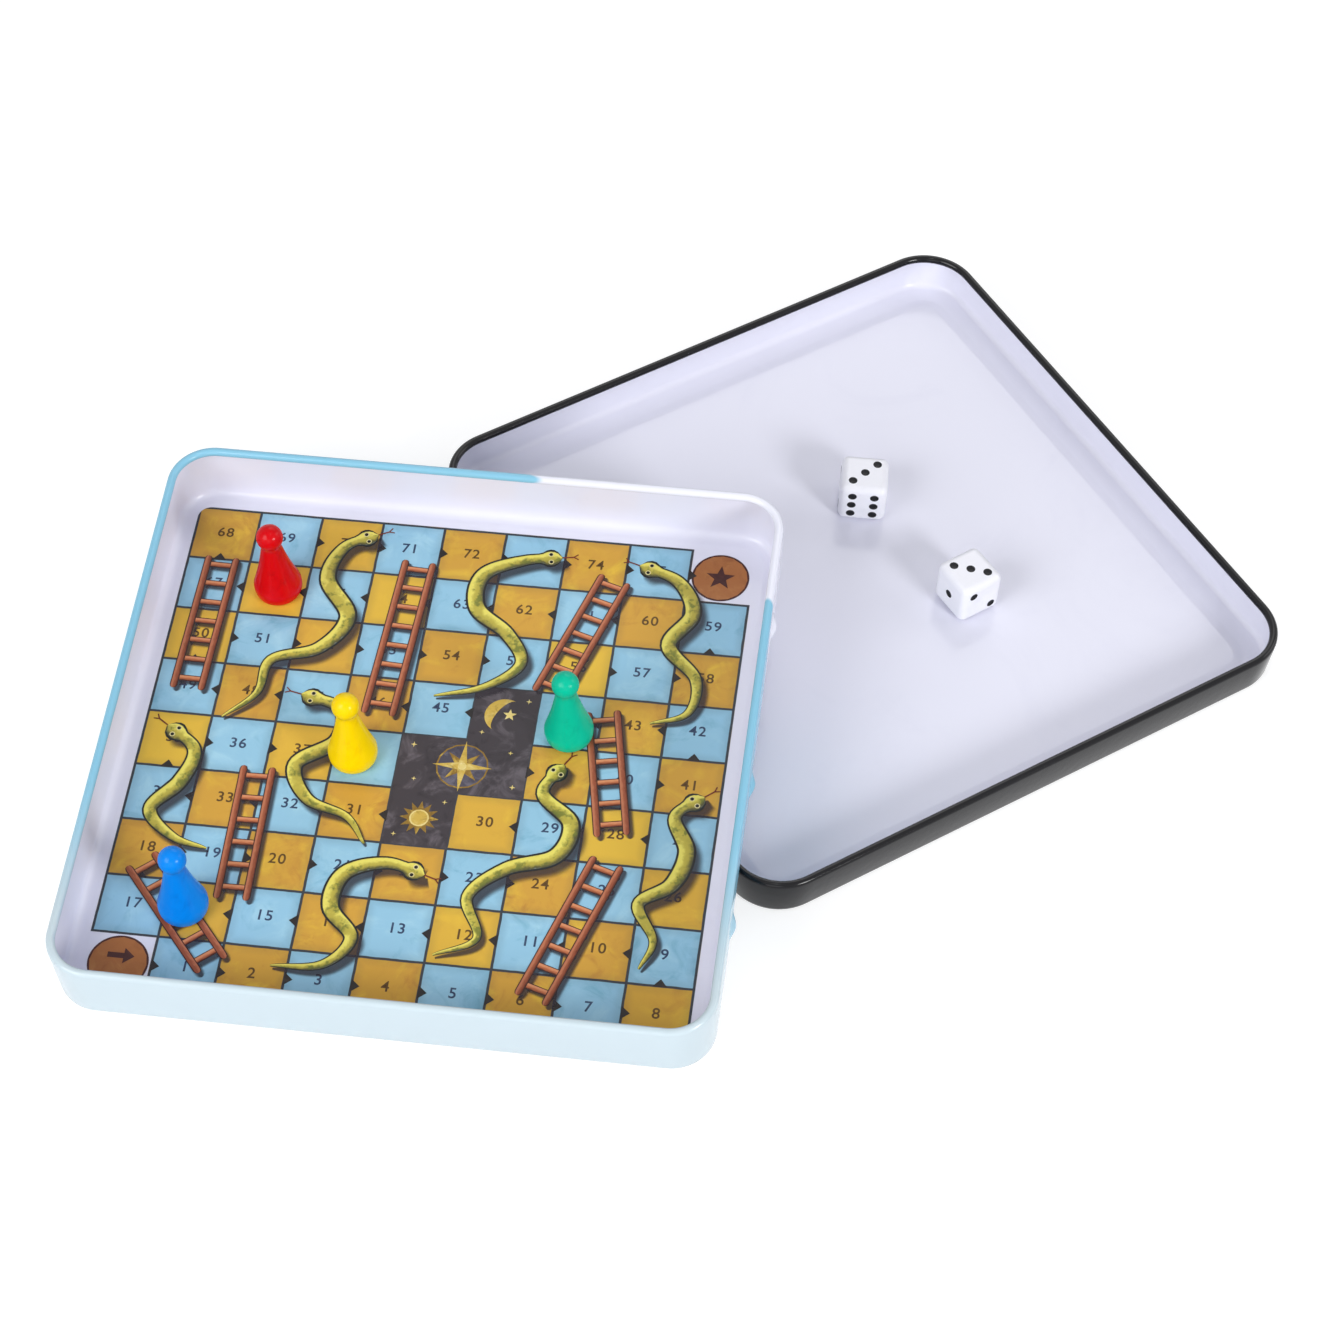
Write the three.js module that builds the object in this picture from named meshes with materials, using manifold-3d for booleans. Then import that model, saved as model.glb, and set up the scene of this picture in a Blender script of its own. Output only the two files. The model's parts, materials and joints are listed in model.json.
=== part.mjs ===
// Magnetic snakes and ladders travel game, laid out for play.
// A shallow tin lid lies open side up with two dice in it. The board tin leans on one side
// of the lid's rim and on its own lowest corner, and four magnetic pawns stand on its floor.
// Millimetres, +Z up. X and Y follow the sides of the board tin before it leans.

import * as THREE from 'three';
import { mergeVertices } from 'three/addons/utils/BufferGeometryUtils.js';
import { RoundedBoxGeometry } from 'three/addons/geometries/RoundedBoxGeometry.js';
import Module from 'manifold-3d';

const wasm = await Module();
wasm.setup();

// Playing field printed on the board tin's floor
const squareSide = 14.2;
const squaresPerSide = 9;
const fieldMargin = 1.2; // raised panel outside the printed field

// Drawn tin trays
const sheet = 0.4;
const rimBead = 1.9; // diameter of the inward rolled rim
const wallDraft = 0.6; // the wall leans in by this much towards the base
const baseFillet = 2;
const panelRise = 0.8; // the floor panel stands above the ring that the tray rests on
const panelStep = 0.6; // run of the slope round the panel
const boardRing = 1.45; // flat width of the ring under the board tin
const lidRing = 3; // the same under the lid
const boardHeight = 16.6;
const lidHeight = 11;
const boardCorner = 10; // corner radius at the rim's outer face
const telescopeGap = 0.6; // between the lid's bead and the board tin's rim when closed

// Bumps pressed out of the board tin's right wall, which snap into the closed lid
const bumpLength = 7;
const bumpWidth = 3;
const bumpReach = 1.2; // beyond the wall's outer face
const bumpHeight = 5.7; // middle of a bump above the tin's base
const bumpPlaceShares = [-0.262, -0.008, 0.293]; // in board sides from the middle of the wall

// Pawns
const pawnFootRadius = 4.65;
const pawnWidest = 5.4;
const pawnWidestHeight = 1.9;
const pawnConeHeight = 2.8; // where the straight cone starts
const pawnNeckRadius = 2.2;
const pawnNeckHeight = 16.1;
const pawnHeadRadius = 3;
const pawnHeadHeight = 18.85; // centre of the ball head

// Disc magnet in the base of each pawn
const magnetRadius = 3;
const magnetThick = 1.5;
const magnetGap = 0.2; // all round the magnet in its pocket

// Dice
const dieSide = 11;
const dieRound = 1.25;
const pipRadius = 1.02;
const pipDepth = 0.38;
const pipPitch = 2.75;

// Laid out as for play
const restGap = 0.2; // between a resting piece and what carries it
const cutOverrun = 0.5; // a cutter stands this far out of what it cuts
const lidTurn = THREE.MathUtils.degToRad(38.7);
const lidLeftOfRimShare = 0.614; // board centre to lid centre along X, in board sides
const lidBehindRimShare = 0.533; // the same along Y

// Pawn places in squares from the middle of the board tin
const pawns = [
  { name: 'red', color: 0xd8081c, placeShares: [-2.99, 3.0] },
  { name: 'yellow', color: 0xf6d500, placeShares: [-1.24, -0.02] },
  { name: 'green', color: 0x12b08a, placeShares: [1.99, 0.74] },
  { name: 'blue', color: 0x0a78e0, placeShares: [-3.27, -2.99] },
];

// Dice places in lid sides from the middle of the lid
const dice = [
  { name: 'die_1', placeShares: [-0.0041, 0.1485], turn: THREE.MathUtils.degToRad(-87.1) },
  { name: 'die_2', placeShares: [0.179, -0.024], turn: THREE.MathUtils.degToRad(40.5) },
];

// Steps of the round shapes; an arc in a path is cut into twice as many
const cornerSteps = 8;
const beadSteps = 5;
const filletSteps = 2;
const headSteps = 4;
const bumpSteps = 4;
const bumpSides = 16;
const pawnSides = 20;
const magnetSides = 20;
const pipSides = 10;

// Both trays are drawn alike, so their panels, rims and corners follow the same values.
const ringStart = wallDraft + baseFillet;
const boardPanelInset = ringStart + boardRing + panelStep;
const boardSide = squaresPerSide * squareSide + 2 * (fieldMargin + boardPanelInset);
const lidSide = boardSide + 2 * (telescopeGap + rimBead);
const boardTin = {
  side: boardSide,
  height: boardHeight,
  corner: boardCorner,
  panelInset: boardPanelInset,
};
const lidTin = {
  side: lidSide,
  height: lidHeight,
  corner: boardCorner + telescopeGap + rimBead,
  panelInset: ringStart + lidRing + panelStep,
};
const floorHeight = panelRise + sheet;

const blueTin = new THREE.MeshStandardMaterial({ color: 0x9fcfe2, roughness: 0.35, metalness: 0.1 });
const blackTin = new THREE.MeshStandardMaterial({ color: 0x15151c, roughness: 0.35, metalness: 0.1 });
const steel = new THREE.MeshStandardMaterial({ color: 0xa9abb0, roughness: 0.3, metalness: 1 });
const ivory = new THREE.MeshStandardMaterial({ color: 0xf4f3ef, roughness: 0.35, metalness: 0 });

function toSolid(geometry) {
  const bare = geometry.clone();
  bare.deleteAttribute('normal');
  bare.deleteAttribute('uv');
  const merged = mergeVertices(bare);
  const mesh = new wasm.Mesh({
    numProp: 3,
    vertProperties: new Float32Array(merged.attributes.position.array),
    triVerts: new Uint32Array(merged.index.array),
  });
  return new wasm.Manifold(mesh);
}

function toGeometry(solid) {
  const mesh = solid.getMesh();
  const geometry = new THREE.BufferGeometry();
  geometry.setAttribute('position', new THREE.BufferAttribute(mesh.vertProperties, 3));
  geometry.setIndex(new THREE.BufferAttribute(mesh.triVerts, 1));
  geometry.computeVertexNormals();
  return geometry;
}

// One ring of a tray: the rounded square that lies inset from the outer face of the rim.
function trayRing(tin, inset, z) {
  const half = tin.side / 2 - inset;
  const radius = Math.max(tin.corner - inset, sheet);
  const ring = [];
  for (let quarter = 0; quarter < 4; quarter += 1) {
    const middle = (quarter + 0.5) * (Math.PI / 2);
    const centreX = Math.sign(Math.cos(middle)) * (half - radius);
    const centreY = Math.sign(Math.sin(middle)) * (half - radius);
    for (let step = 0; step <= cornerSteps; step += 1) {
      const angle = (quarter + step / cornerSteps) * (Math.PI / 2);
      ring.push([centreX + radius * Math.cos(angle), centreY + radius * Math.sin(angle), z]);
    }
  }
  return ring;
}

// Section of a tray from its underside panel, out and up the wall, round the rolled rim and
// back down to its floor. X is the inset from the rim's outer face, Y the height.
function traySection(tin) {
  const ringInner = tin.panelInset - panelStep;
  const bead = rimBead / 2;
  const beadHeight = tin.height - bead;
  const innerFace = sheet + wallDraft * (rimBead / tin.height);
  const tuck = Math.acos((bead - innerFace) / bead);
  const outerFillet = new THREE.Path();
  outerFillet.absarc(ringStart, baseFillet, baseFillet, -Math.PI / 2, -Math.PI, true);
  const curl = new THREE.Path();
  curl.absarc(bead, beadHeight, bead, Math.PI, tuck - Math.PI, true);
  const innerFillet = new THREE.Path();
  innerFillet.absarc(ringStart, baseFillet, baseFillet - sheet, Math.PI, Math.PI * 1.5, false);
  return [
    new THREE.Vector2(tin.panelInset, panelRise),
    new THREE.Vector2(ringInner, 0),
    ...outerFillet.getPoints(filletSteps),
    ...curl.getPoints(beadSteps),
    ...innerFillet.getPoints(filletSteps),
    new THREE.Vector2(ringInner, sheet),
    new THREE.Vector2(tin.panelInset, floorHeight),
  ];
}

// A tray as one closed skin: rings along the section, and a fan over each flat panel.
function trayGeometry(tin) {
  const rings = traySection(tin).map((point) => trayRing(tin, point.x, point.y));
  const perRing = rings[0].length;
  const positions = rings.flat(2);
  const indices = [];
  for (let row = 0; row + 1 < rings.length; row += 1) {
    for (let place = 0; place < perRing; place += 1) {
      const next = (place + 1) % perRing;
      const a = row * perRing + place;
      const b = row * perRing + next;
      const c = a + perRing;
      const d = b + perRing;
      indices.push(a, b, d, a, d, c);
    }
  }
  const underside = positions.length / 3;
  positions.push(0, 0, panelRise);
  const floor = underside + 1;
  positions.push(0, 0, floorHeight);
  const lastRow = (rings.length - 1) * perRing;
  for (let place = 0; place < perRing; place += 1) {
    const next = (place + 1) % perRing;
    indices.push(underside, next, place);
    indices.push(floor, lastRow + place, lastRow + next);
  }
  const geometry = new THREE.BufferGeometry();
  geometry.setAttribute('position', new THREE.Float32BufferAttribute(positions, 3));
  geometry.setIndex(indices);
  geometry.computeVertexNormals();
  return geometry;
}

// A lying capsule of the bumps' reach, centred on one face of the board tin's right wall.
function bumpSolid(width, face, place) {
  const capsule = new THREE.CapsuleGeometry(width / 2, bumpLength - bumpWidth, bumpSteps, bumpSides);
  capsule.scale(bumpReach / (width / 2), 1, 1);
  capsule.translate(face, place, bumpHeight);
  return toSolid(capsule);
}

// The board tin's sheet bulges outward at each bump, so its inner side is hollow there.
function boardTinGeometry() {
  const riseShare = (bumpHeight - baseFillet) / (boardHeight - rimBead / 2 - baseFillet);
  const outerFace = boardSide / 2 - wallDraft * (1 - riseShare);
  let solid = toSolid(trayGeometry(boardTin));
  for (const placeShare of bumpPlaceShares) {
    const place = placeShare * boardSide;
    const bulge = bumpSolid(bumpWidth, outerFace, place);
    const hollow = bumpSolid(bumpWidth - sheet, outerFace - sheet, place);
    solid = solid.add(bulge.trimByPlane([1, 0, 0], outerFace - sheet / 2)).subtract(hollow);
  }
  return toGeometry(solid);
}

// Half section of a pawn, from the roof of its magnet pocket to the top of its head.
function pawnGeometry() {
  const pocketRadius = magnetRadius + magnetGap;
  const pocketHeight = magnetThick + 2 * magnetGap;
  const foot = new THREE.Path();
  foot.absellipse(
    pawnFootRadius, pawnWidestHeight,
    pawnWidest - pawnFootRadius, pawnWidestHeight,
    -Math.PI / 2, 0, false,
  );
  const neckAngle = -Math.acos(pawnNeckRadius / pawnHeadRadius);
  const head = new THREE.Path();
  head.absarc(0, pawnHeadHeight, pawnHeadRadius, neckAngle, Math.PI / 2, false);
  const profile = [
    new THREE.Vector2(0, pocketHeight),
    new THREE.Vector2(pocketRadius, pocketHeight),
    new THREE.Vector2(pocketRadius, 0),
    ...foot.getPoints(filletSteps),
    new THREE.Vector2(pawnWidest, pawnConeHeight),
    new THREE.Vector2(pawnNeckRadius, pawnNeckHeight),
    ...head.getPoints(headSteps).slice(0, -1),
    new THREE.Vector2(0, pawnHeadHeight + pawnHeadRadius),
  ];
  const pawn = new THREE.LatheGeometry(profile, pawnSides);
  pawn.rotateX(Math.PI / 2);
  return pawn;
}

function magnetGeometry() {
  const magnet = new THREE.CylinderGeometry(magnetRadius, magnetRadius, magnetThick, magnetSides);
  magnet.rotateX(Math.PI / 2);
  magnet.translate(0, 0, magnetGap + magnetThick / 2);
  return magnet;
}

// Cutter for one pip on the top face of a die: a shallow bowl with a straight collar.
function pipCutter() {
  const face = dieSide / 2;
  const bowl = new THREE.Path();
  bowl.absellipse(0, face, pipRadius, pipDepth, -Math.PI / 2, 0, false);
  const profile = [
    new THREE.Vector2(0, face - pipDepth),
    ...bowl.getPoints(filletSteps).slice(2),
    new THREE.Vector2(pipRadius, face + cutOverrun),
    new THREE.Vector2(0, face + cutOverrun),
  ];
  const cutter = new THREE.LatheGeometry(profile, pipSides);
  cutter.rotateX(Math.PI / 2);
  return cutter;
}

// Pip places as steps of pipPitch, and the turn that brings the top face to each side.
const quarterTurn = Math.PI / 2;
const faces = [
  { turnX: 0, turnY: 0, steps: [[-1, 1], [0, 0], [1, -1]] },
  { turnX: Math.PI, turnY: 0, steps: [[-1, -1], [-1, 1], [1, -1], [1, 1]] },
  { turnX: 0, turnY: -quarterTurn, steps: [[0, 0]] },
  { turnX: 0, turnY: quarterTurn, steps: [[-1, -1], [0, -1], [1, -1], [-1, 1], [0, 1], [1, 1]] },
  { turnX: quarterTurn, turnY: 0, steps: [[-1, 1], [1, -1]] },
  { turnX: -quarterTurn, turnY: 0, steps: [[-1, -1], [-1, 1], [0, 0], [1, -1], [1, 1]] },
];

function dieGeometry() {
  let solid = toSolid(new RoundedBoxGeometry(dieSide, dieSide, dieSide, filletSteps, dieRound));
  for (const face of faces) {
    for (const [stepX, stepY] of face.steps) {
      const pip = pipCutter();
      pip.translate(stepX * pipPitch, stepY * pipPitch, 0);
      pip.rotateX(face.turnX);
      pip.rotateY(face.turnY);
      solid = solid.subtract(toSolid(pip));
    }
  }
  return toGeometry(solid);
}

function namedMesh(name, geometry, material) {
  const mesh = new THREE.Mesh(geometry, material);
  mesh.name = name;
  return mesh;
}

// How far the base of the board tin reaches down the slope, from its middle to the centre
// of the fillet round its lowest corner.
function lowCornerReach() {
  const base = boardSide / 2 - wallDraft;
  const radius = boardCorner - wallDraft;
  return (base - radius) * (Math.cos(lidTurn) + Math.sin(lidTurn)) + radius - baseFillet;
}

// The board tin leans about its lowest corner until its base rests on the bead of the lid.
function leaningBoard(lidX, lidY) {
  const bead = rimBead / 2;
  const uphill = new THREE.Vector3(Math.cos(lidTurn), Math.sin(lidTurn), 0);
  const reach = lowCornerReach();
  const rise = lidHeight - bead - baseFillet;
  const run = reach + lidX * uphill.x + lidY * uphill.y - (lidSide / 2 - bead);
  const apart = baseFillet + bead + restGap;
  const lean = Math.atan2(rise, run) + Math.asin(apart / Math.hypot(run, rise));
  const pivot = new THREE.Group();
  pivot.position.set(-reach * uphill.x, -reach * uphill.y, baseFillet);
  pivot.quaternion.setFromAxisAngle(new THREE.Vector3(uphill.y, -uphill.x, 0), lean);
  const tray = new THREE.Group();
  tray.position.set(reach * uphill.x, reach * uphill.y, -baseFillet);
  pivot.add(tray);
  return { pivot, tray };
}

const game = new THREE.Group();
const lidX = boardSide * lidLeftOfRimShare;
const lidY = boardSide * lidBehindRimShare;

const lid = new THREE.Group();
lid.position.set(lidX, lidY, 0);
game.add(lid);
const lidMesh = namedMesh('lid_tin', trayGeometry(lidTin), blackTin);
lidMesh.rotation.z = lidTurn;
lid.add(lidMesh);
for (const die of dice) {
  const mesh = namedMesh(die.name, dieGeometry(), ivory);
  const height = floorHeight + restGap + dieSide / 2;
  mesh.position.set(die.placeShares[0] * lidSide, die.placeShares[1] * lidSide, height);
  mesh.rotation.z = die.turn;
  lid.add(mesh);
}

const { pivot, tray } = leaningBoard(lidX, lidY);
game.add(pivot);
tray.add(namedMesh('board_tin', boardTinGeometry(), blueTin));
for (const pawn of pawns) {
  const color = new THREE.MeshStandardMaterial({ color: pawn.color, roughness: 0.2, metalness: 0 });
  const stand = new THREE.Group();
  const [acrossShare, alongShare] = pawn.placeShares;
  stand.position.set(acrossShare * squareSide, alongShare * squareSide, floorHeight + restGap);
  stand.add(namedMesh(`pawn_${pawn.name}`, pawnGeometry(), color));
  stand.add(namedMesh(`magnet_${pawn.name}`, magnetGeometry(), steel));
  tray.add(stand);
}

// The origin lies on the ground under the middle of the whole layout.
const footprint = new THREE.Box3().setFromObject(game, true);
const middle = footprint.getCenter(new THREE.Vector3());
game.position.set(-middle.x, -middle.y, 0);

export default game;
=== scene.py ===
import json
import math

import bmesh
import bpy
from mathutils import Matrix, Vector


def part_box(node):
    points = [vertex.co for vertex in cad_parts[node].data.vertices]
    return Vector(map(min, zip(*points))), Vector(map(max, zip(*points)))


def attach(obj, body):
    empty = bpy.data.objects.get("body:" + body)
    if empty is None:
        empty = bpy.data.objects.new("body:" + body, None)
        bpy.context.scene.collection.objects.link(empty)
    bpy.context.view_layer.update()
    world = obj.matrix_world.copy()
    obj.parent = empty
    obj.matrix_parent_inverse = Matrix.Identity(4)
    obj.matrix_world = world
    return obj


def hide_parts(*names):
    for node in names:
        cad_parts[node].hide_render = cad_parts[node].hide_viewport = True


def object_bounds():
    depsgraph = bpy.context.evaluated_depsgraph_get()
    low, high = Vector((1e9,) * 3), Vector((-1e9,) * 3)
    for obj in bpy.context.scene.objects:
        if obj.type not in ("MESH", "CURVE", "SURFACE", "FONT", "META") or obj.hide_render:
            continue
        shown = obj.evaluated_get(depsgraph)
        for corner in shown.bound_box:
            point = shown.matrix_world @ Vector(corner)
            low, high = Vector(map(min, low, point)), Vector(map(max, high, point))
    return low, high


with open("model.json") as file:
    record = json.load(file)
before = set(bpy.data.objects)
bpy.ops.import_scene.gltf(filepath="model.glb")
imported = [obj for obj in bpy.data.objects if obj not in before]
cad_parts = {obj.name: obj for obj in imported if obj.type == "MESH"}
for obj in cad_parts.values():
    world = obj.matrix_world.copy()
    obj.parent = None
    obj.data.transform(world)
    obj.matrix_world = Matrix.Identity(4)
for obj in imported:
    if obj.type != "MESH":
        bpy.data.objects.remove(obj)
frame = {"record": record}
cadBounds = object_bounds()
scene = bpy.context.scene
mm = 0.001
print("frame loaded")


# Places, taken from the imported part

layout = {
    "fieldMountSpot": (10, -30, 1.2),  # where the field's mount lies on the board tin
    "lidTurn": 38.7,
    "dieTurns": {"die_1": -87.1, "die_2": 40.5},
    "magnetMiddle": 0.95,  # middle of a magnet above the foot of its pawn
}
colourNames = ("red", "yellow", "green", "blue")
mounts = {mount["name"]: mount for mount in frame["record"]["mounts"]}
boardNormal = Vector(mounts["playing_field"]["axis"]).normalized()


def middleOf(node):
    low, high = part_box(node)
    return (low + high) / 2


def findPlaces():
    lean = Vector((0, 0, 1)).rotation_difference(boardNormal).to_matrix()
    spot = Vector(mounts["playing_field"]["pos_m"])
    origin = spot - lean @ (Vector(layout["fieldMountSpot"]) * mm)
    board = Matrix.LocRotScale(origin, lean, None)
    lidMiddle = middleOf("lid_tin")
    lid = Matrix.Translation((lidMiddle.x, lidMiddle.y, 0))
    lid = lid @ Matrix.Rotation(math.radians(layout["lidTurn"]), 4, "Z")
    pawns = {}
    for colour in colourNames:
        foot = middleOf("magnet_" + colour) - boardNormal * layout["magnetMiddle"] * mm
        pawns[colour] = Matrix.LocRotScale(foot, lean, None)
    dice = {}
    for die, turn in layout["dieTurns"].items():
        turned = Matrix.Rotation(math.radians(turn), 4, "Z")
        dice[die] = Matrix.Translation(middleOf(die)) @ turned
    return board, lid, pawns, dice


boardPlace, lidPlace, pawnPlaces, dicePlaces = findPlaces()


# Camera, at the photograph's viewing angle

view = {
    "place": (21.7, -495.3, 624.2),
    "azimuth": 3.8,
    "elevation": 51.95,
    "roll": 4.43,
    "lens": 95.24,
    "sensor": 36,
    "farthest": 20,
}


def makeCamera():
    data = bpy.data.cameras.new("camera")
    data.lens = view["lens"]
    data.sensor_width = view["sensor"]
    data.clip_end = view["farthest"]
    camera = bpy.data.objects.new("camera", data)
    scene.collection.objects.link(camera)
    heading = Matrix.Rotation(math.radians(view["azimuth"]), 3, "Z")
    tilt = Matrix.Rotation(math.radians(90 - view["elevation"]), 3, "X")
    roll = Matrix.Rotation(math.radians(view["roll"]), 3, "Z")
    camera.location = Vector(view["place"]) * mm
    camera.rotation_euler = (heading @ tilt @ roll).to_euler()
    scene.camera = camera


makeCamera()
print("camera placed")


# Shader helpers

def paint(red, green, blue):
    # Linear colour from the 0 to 255 values that a paint chart gives
    def linear(value):
        share = value / 255
        return share / 12.92 if share <= 0.04045 else ((share + 0.055) / 1.055) ** 2.4
    return (linear(red), linear(green), linear(blue), 1.0)


def plug(tree, socket, value):
    if isinstance(value, bpy.types.NodeSocket):
        tree.links.new(value, socket)
    else:
        socket.default_value = value


def addNode(tree, kind, inputs=None, **settings):
    node = tree.nodes.new("ShaderNode" + kind)
    for name, value in settings.items():
        setattr(node, name, value)
    for name, value in (inputs or {}).items():
        plug(tree, node.inputs[name], value)
    return node


def calc(tree, operation, *values, clamp=False):
    node = addNode(tree, "Math", operation=operation, use_clamp=clamp)
    for place, value in enumerate(values):
        plug(tree, node.inputs[place], value)
    return node.outputs[0]


def ease(tree, value, low, high, start=0.0, end=1.0):
    # Smooth change from start to end as value goes from low to high
    inputs = {"Value": value, "From Min": low, "From Max": high, "To Min": start, "To Max": end}
    node = addNode(tree, "MapRange", inputs, interpolation_type="SMOOTHSTEP")
    return node.outputs["Result"]


def blendColour(tree, share, first, second):
    node = addNode(tree, "Mix", data_type="RGBA")
    plug(tree, node.inputs[0], share)
    plug(tree, node.inputs[6], first)
    plug(tree, node.inputs[7], second)
    return node.outputs[2]


def noise(tree, vector, size, detail=2.0, roughness=0.5, distortion=0.0):
    inputs = {
        "Vector": vector, "Scale": size, "Detail": detail,
        "Roughness": roughness, "Distortion": distortion,
    }
    return addNode(tree, "TexNoise", inputs).outputs[0]


def startGroup(name, inputs, outputs):
    group = bpy.data.node_groups.new(name, "ShaderNodeTree")
    for label, kind, start in inputs:
        socket = group.interface.new_socket(label, in_out="INPUT", socket_type="NodeSocket" + kind)
        if start is not None:
            socket.default_value = start
    for label, kind in outputs:
        group.interface.new_socket(label, in_out="OUTPUT", socket_type="NodeSocket" + kind)
    entry = group.nodes.new("NodeGroupInput")
    leave = group.nodes.new("NodeGroupOutput")
    return group, entry.outputs, leave.inputs


def useGroup(tree, group, inputs):
    return addNode(tree, "Group", inputs, node_tree=group).outputs


finishes = {
    # gloss, lowest and highest roughness, height of the orange peel in millimetres; the two
    # roughnesses lie on one side of 0.27, where the denoiser changes its way and leaves edges
    "board enamel": (0.5, 0.14, 0.22, 0.01),
    "lid enamel": (0.3, 0.1, 0.18, 0.03),
    "liner": (0.4, 0.13, 0.2, 0.01),
    "field ink": (0.25, 0.3, 0.42, 0.02),
    "flat ink": (0.25, 0.32, 0.45, 0),
    "body ink": (0.25, 0.3, 0.42, 0),
    "plastic": (0.15, 0.18, 0.26, 0),
    "steel": (0.5, 0.28, 0.42, 0),
    "die": (0.35, 0.28, 0.38, 0.03),
    "pip paint": (0.25, 0.35, 0.5, 0),
}


def startMaterial(name, finish, **constants):
    material = bpy.data.materials.new(name)
    material.use_nodes = True
    tree = material.node_tree
    shader = tree.nodes["Principled BSDF"]
    shader.inputs["Specular IOR Level"].default_value = finishes[finish][0]
    for label, value in constants.items():
        shader.inputs[label.replace("_", " ")].default_value = value
    return material, tree, shader


def seenRays(tree):
    # One for rays that end in the picture: straight, mirrored or through glass
    ray = addNode(tree, "LightPath").outputs
    mirrored = calc(tree, "MAXIMUM", ray["Is Glossy Ray"], ray["Is Transmission Ray"])
    return calc(tree, "MAXIMUM", ray["Is Camera Ray"], mirrored)


def bump(tree, shader, height, distance):
    node = addNode(tree, "Bump", {"Height": height, "Distance": distance, "Strength": 1.0})
    tree.links.new(node.outputs["Normal"], shader.inputs["Normal"])


def coordinatesIn(tree, place, unit=mm):
    # Object coordinates seen from a piece's own frame, counted in units
    coordinates = addNode(tree, "TexCoord").outputs["Object"]
    inputs = {
        "Vector": coordinates, "Location": place.translation,
        "Rotation": place.to_euler(), "Scale": (unit, unit, unit),
    }
    return addNode(tree, "Mapping", inputs, vector_type="TEXTURE").outputs["Vector"]


# Effects that several finishes share; their vectors are in millimetres

def makeEnamelGroup():
    # Faint orange peel of stoved enamel, with the smudges and hairlines of handling
    group, entry, leave = startGroup(
        "enamel surface",
        [("Vector", "Vector", None), ("Low", "Float", 0.2), ("High", "Float", 0.35)],
        [("Height", "Float"), ("Roughness", "Float")],
    )
    group.links.new(noise(group, entry["Vector"], 0.5, 1.0), leave["Height"])
    smudge = ease(group, noise(group, entry["Vector"], 0.045, 3.0), 0.25, 0.85)
    stretched = addNode(group, "Mapping", {
        "Vector": entry["Vector"], "Scale": (0.05, 2.4, 2.4),
        "Rotation": (0.0, 0.0, math.radians(24)),
    })
    hairlines = ease(group, noise(group, stretched.outputs["Vector"], 1.0, 2.0), 0.66, 0.74)
    share = calc(group, "ADD", smudge, calc(group, "MULTIPLY", hairlines, 0.15), clamp=True)
    span = calc(group, "SUBTRACT", entry["High"], entry["Low"])
    roughness = calc(group, "MULTIPLY_ADD", share, span, entry["Low"])
    group.links.new(roughness, leave["Roughness"])
    return group


def makeWashGroup():
    # Brushed look of printed paint: a colour that drifts to a lighter and a darker one
    group, entry, leave = startGroup(
        "brushed ink",
        [("Vector", "Vector", None), ("Colour", "Color", None), ("Light", "Color", None),
         ("Dark", "Color", None), ("Scale", "Float", 0.2)],
        [("Colour", "Color")],
    )
    broad = noise(group, entry["Vector"], entry["Scale"], 4.0, 0.6, 0.7)
    shifted = addNode(group, "VectorMath", {0: entry["Vector"], 1: (37.0, 11.0, 5.0)})
    other = noise(group, shifted.outputs[0], entry["Scale"], 5.0, 0.65, 1.2)
    light = ease(group, broad, 0.48, 0.78)
    dark = ease(group, other, 0.50, 0.82)
    lighter = blendColour(group, light, entry["Colour"], entry["Light"])
    group.links.new(blendColour(group, dark, lighter, entry["Dark"]), leave["Colour"])
    return group


def makeRoundInkGroup():
    # Printed round body: an outline, light from below, a dark side, the body and a lit side
    group, entry, leave = startGroup(
        "round body ink",
        [("Lit", "Float", 0.0), ("Across", "Float", 0.0), ("Under", "Color", None),
         ("Dark", "Color", None), ("Middle", "Color", None), ("Light", "Color", None),
         ("Outline", "Color", None)],
        [("Colour", "Color")],
    )
    body = blendColour(group, ease(group, entry["Lit"], -0.95, -0.68), entry["Under"], entry["Dark"])
    body = blendColour(group, ease(group, entry["Lit"], -0.66, -0.1), body, entry["Middle"])
    rise = ease(group, entry["Lit"], -0.05, 0.4)
    fall = ease(group, entry["Lit"], 0.6, 1.0, 1.0, 0.35)
    body = blendColour(group, calc(group, "MULTIPLY", rise, fall), body, entry["Light"])
    line = ease(group, calc(group, "ABSOLUTE", entry["Across"]), 0.73, 0.8)
    group.links.new(blendColour(group, line, body, entry["Outline"]), leave["Colour"])
    return group


enamelGroup = makeEnamelGroup()
washGroup = makeWashGroup()
roundInkGroup = makeRoundInkGroup()


def finishSurface(tree, shader, spot, finish):
    # Roughness of a finish, and its orange peel where it has one; gives back the peel's height
    low, high, peel = finishes[finish][1:]
    surface = useGroup(tree, enamelGroup, {"Vector": spot, "Low": low, "High": high})
    tree.links.new(surface["Roughness"], shader.inputs["Roughness"])
    if peel:
        bump(tree, shader, surface["Height"], peel * mm)
    return surface["Height"]


def washColour(tree, spot, colours, scale):
    # Colours are the middle, light and dark shade
    colour, light, dark = colours
    inputs = {"Vector": spot, "Colour": colour, "Light": light, "Dark": dark, "Scale": scale}
    return useGroup(tree, washGroup, inputs)["Colour"]


def makePlainFinish(name, finish, place, colours, scale, **constants):
    # One colour of brushed paint or plastic, in its shades
    material, tree, shader = startMaterial(name, finish, **constants)
    spot = coordinatesIn(tree, place)
    tree.links.new(washColour(tree, spot, colours, scale), shader.inputs["Base Color"])
    finishSurface(tree, shader, spot, finish)
    return material


# Making pieces

def meshObject(name, bm):
    mesh = bpy.data.meshes.new(name)
    bm.to_mesh(mesh)
    bm.free()
    made = bpy.data.objects.new(name, mesh)
    scene.collection.objects.link(made)
    return made


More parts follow.
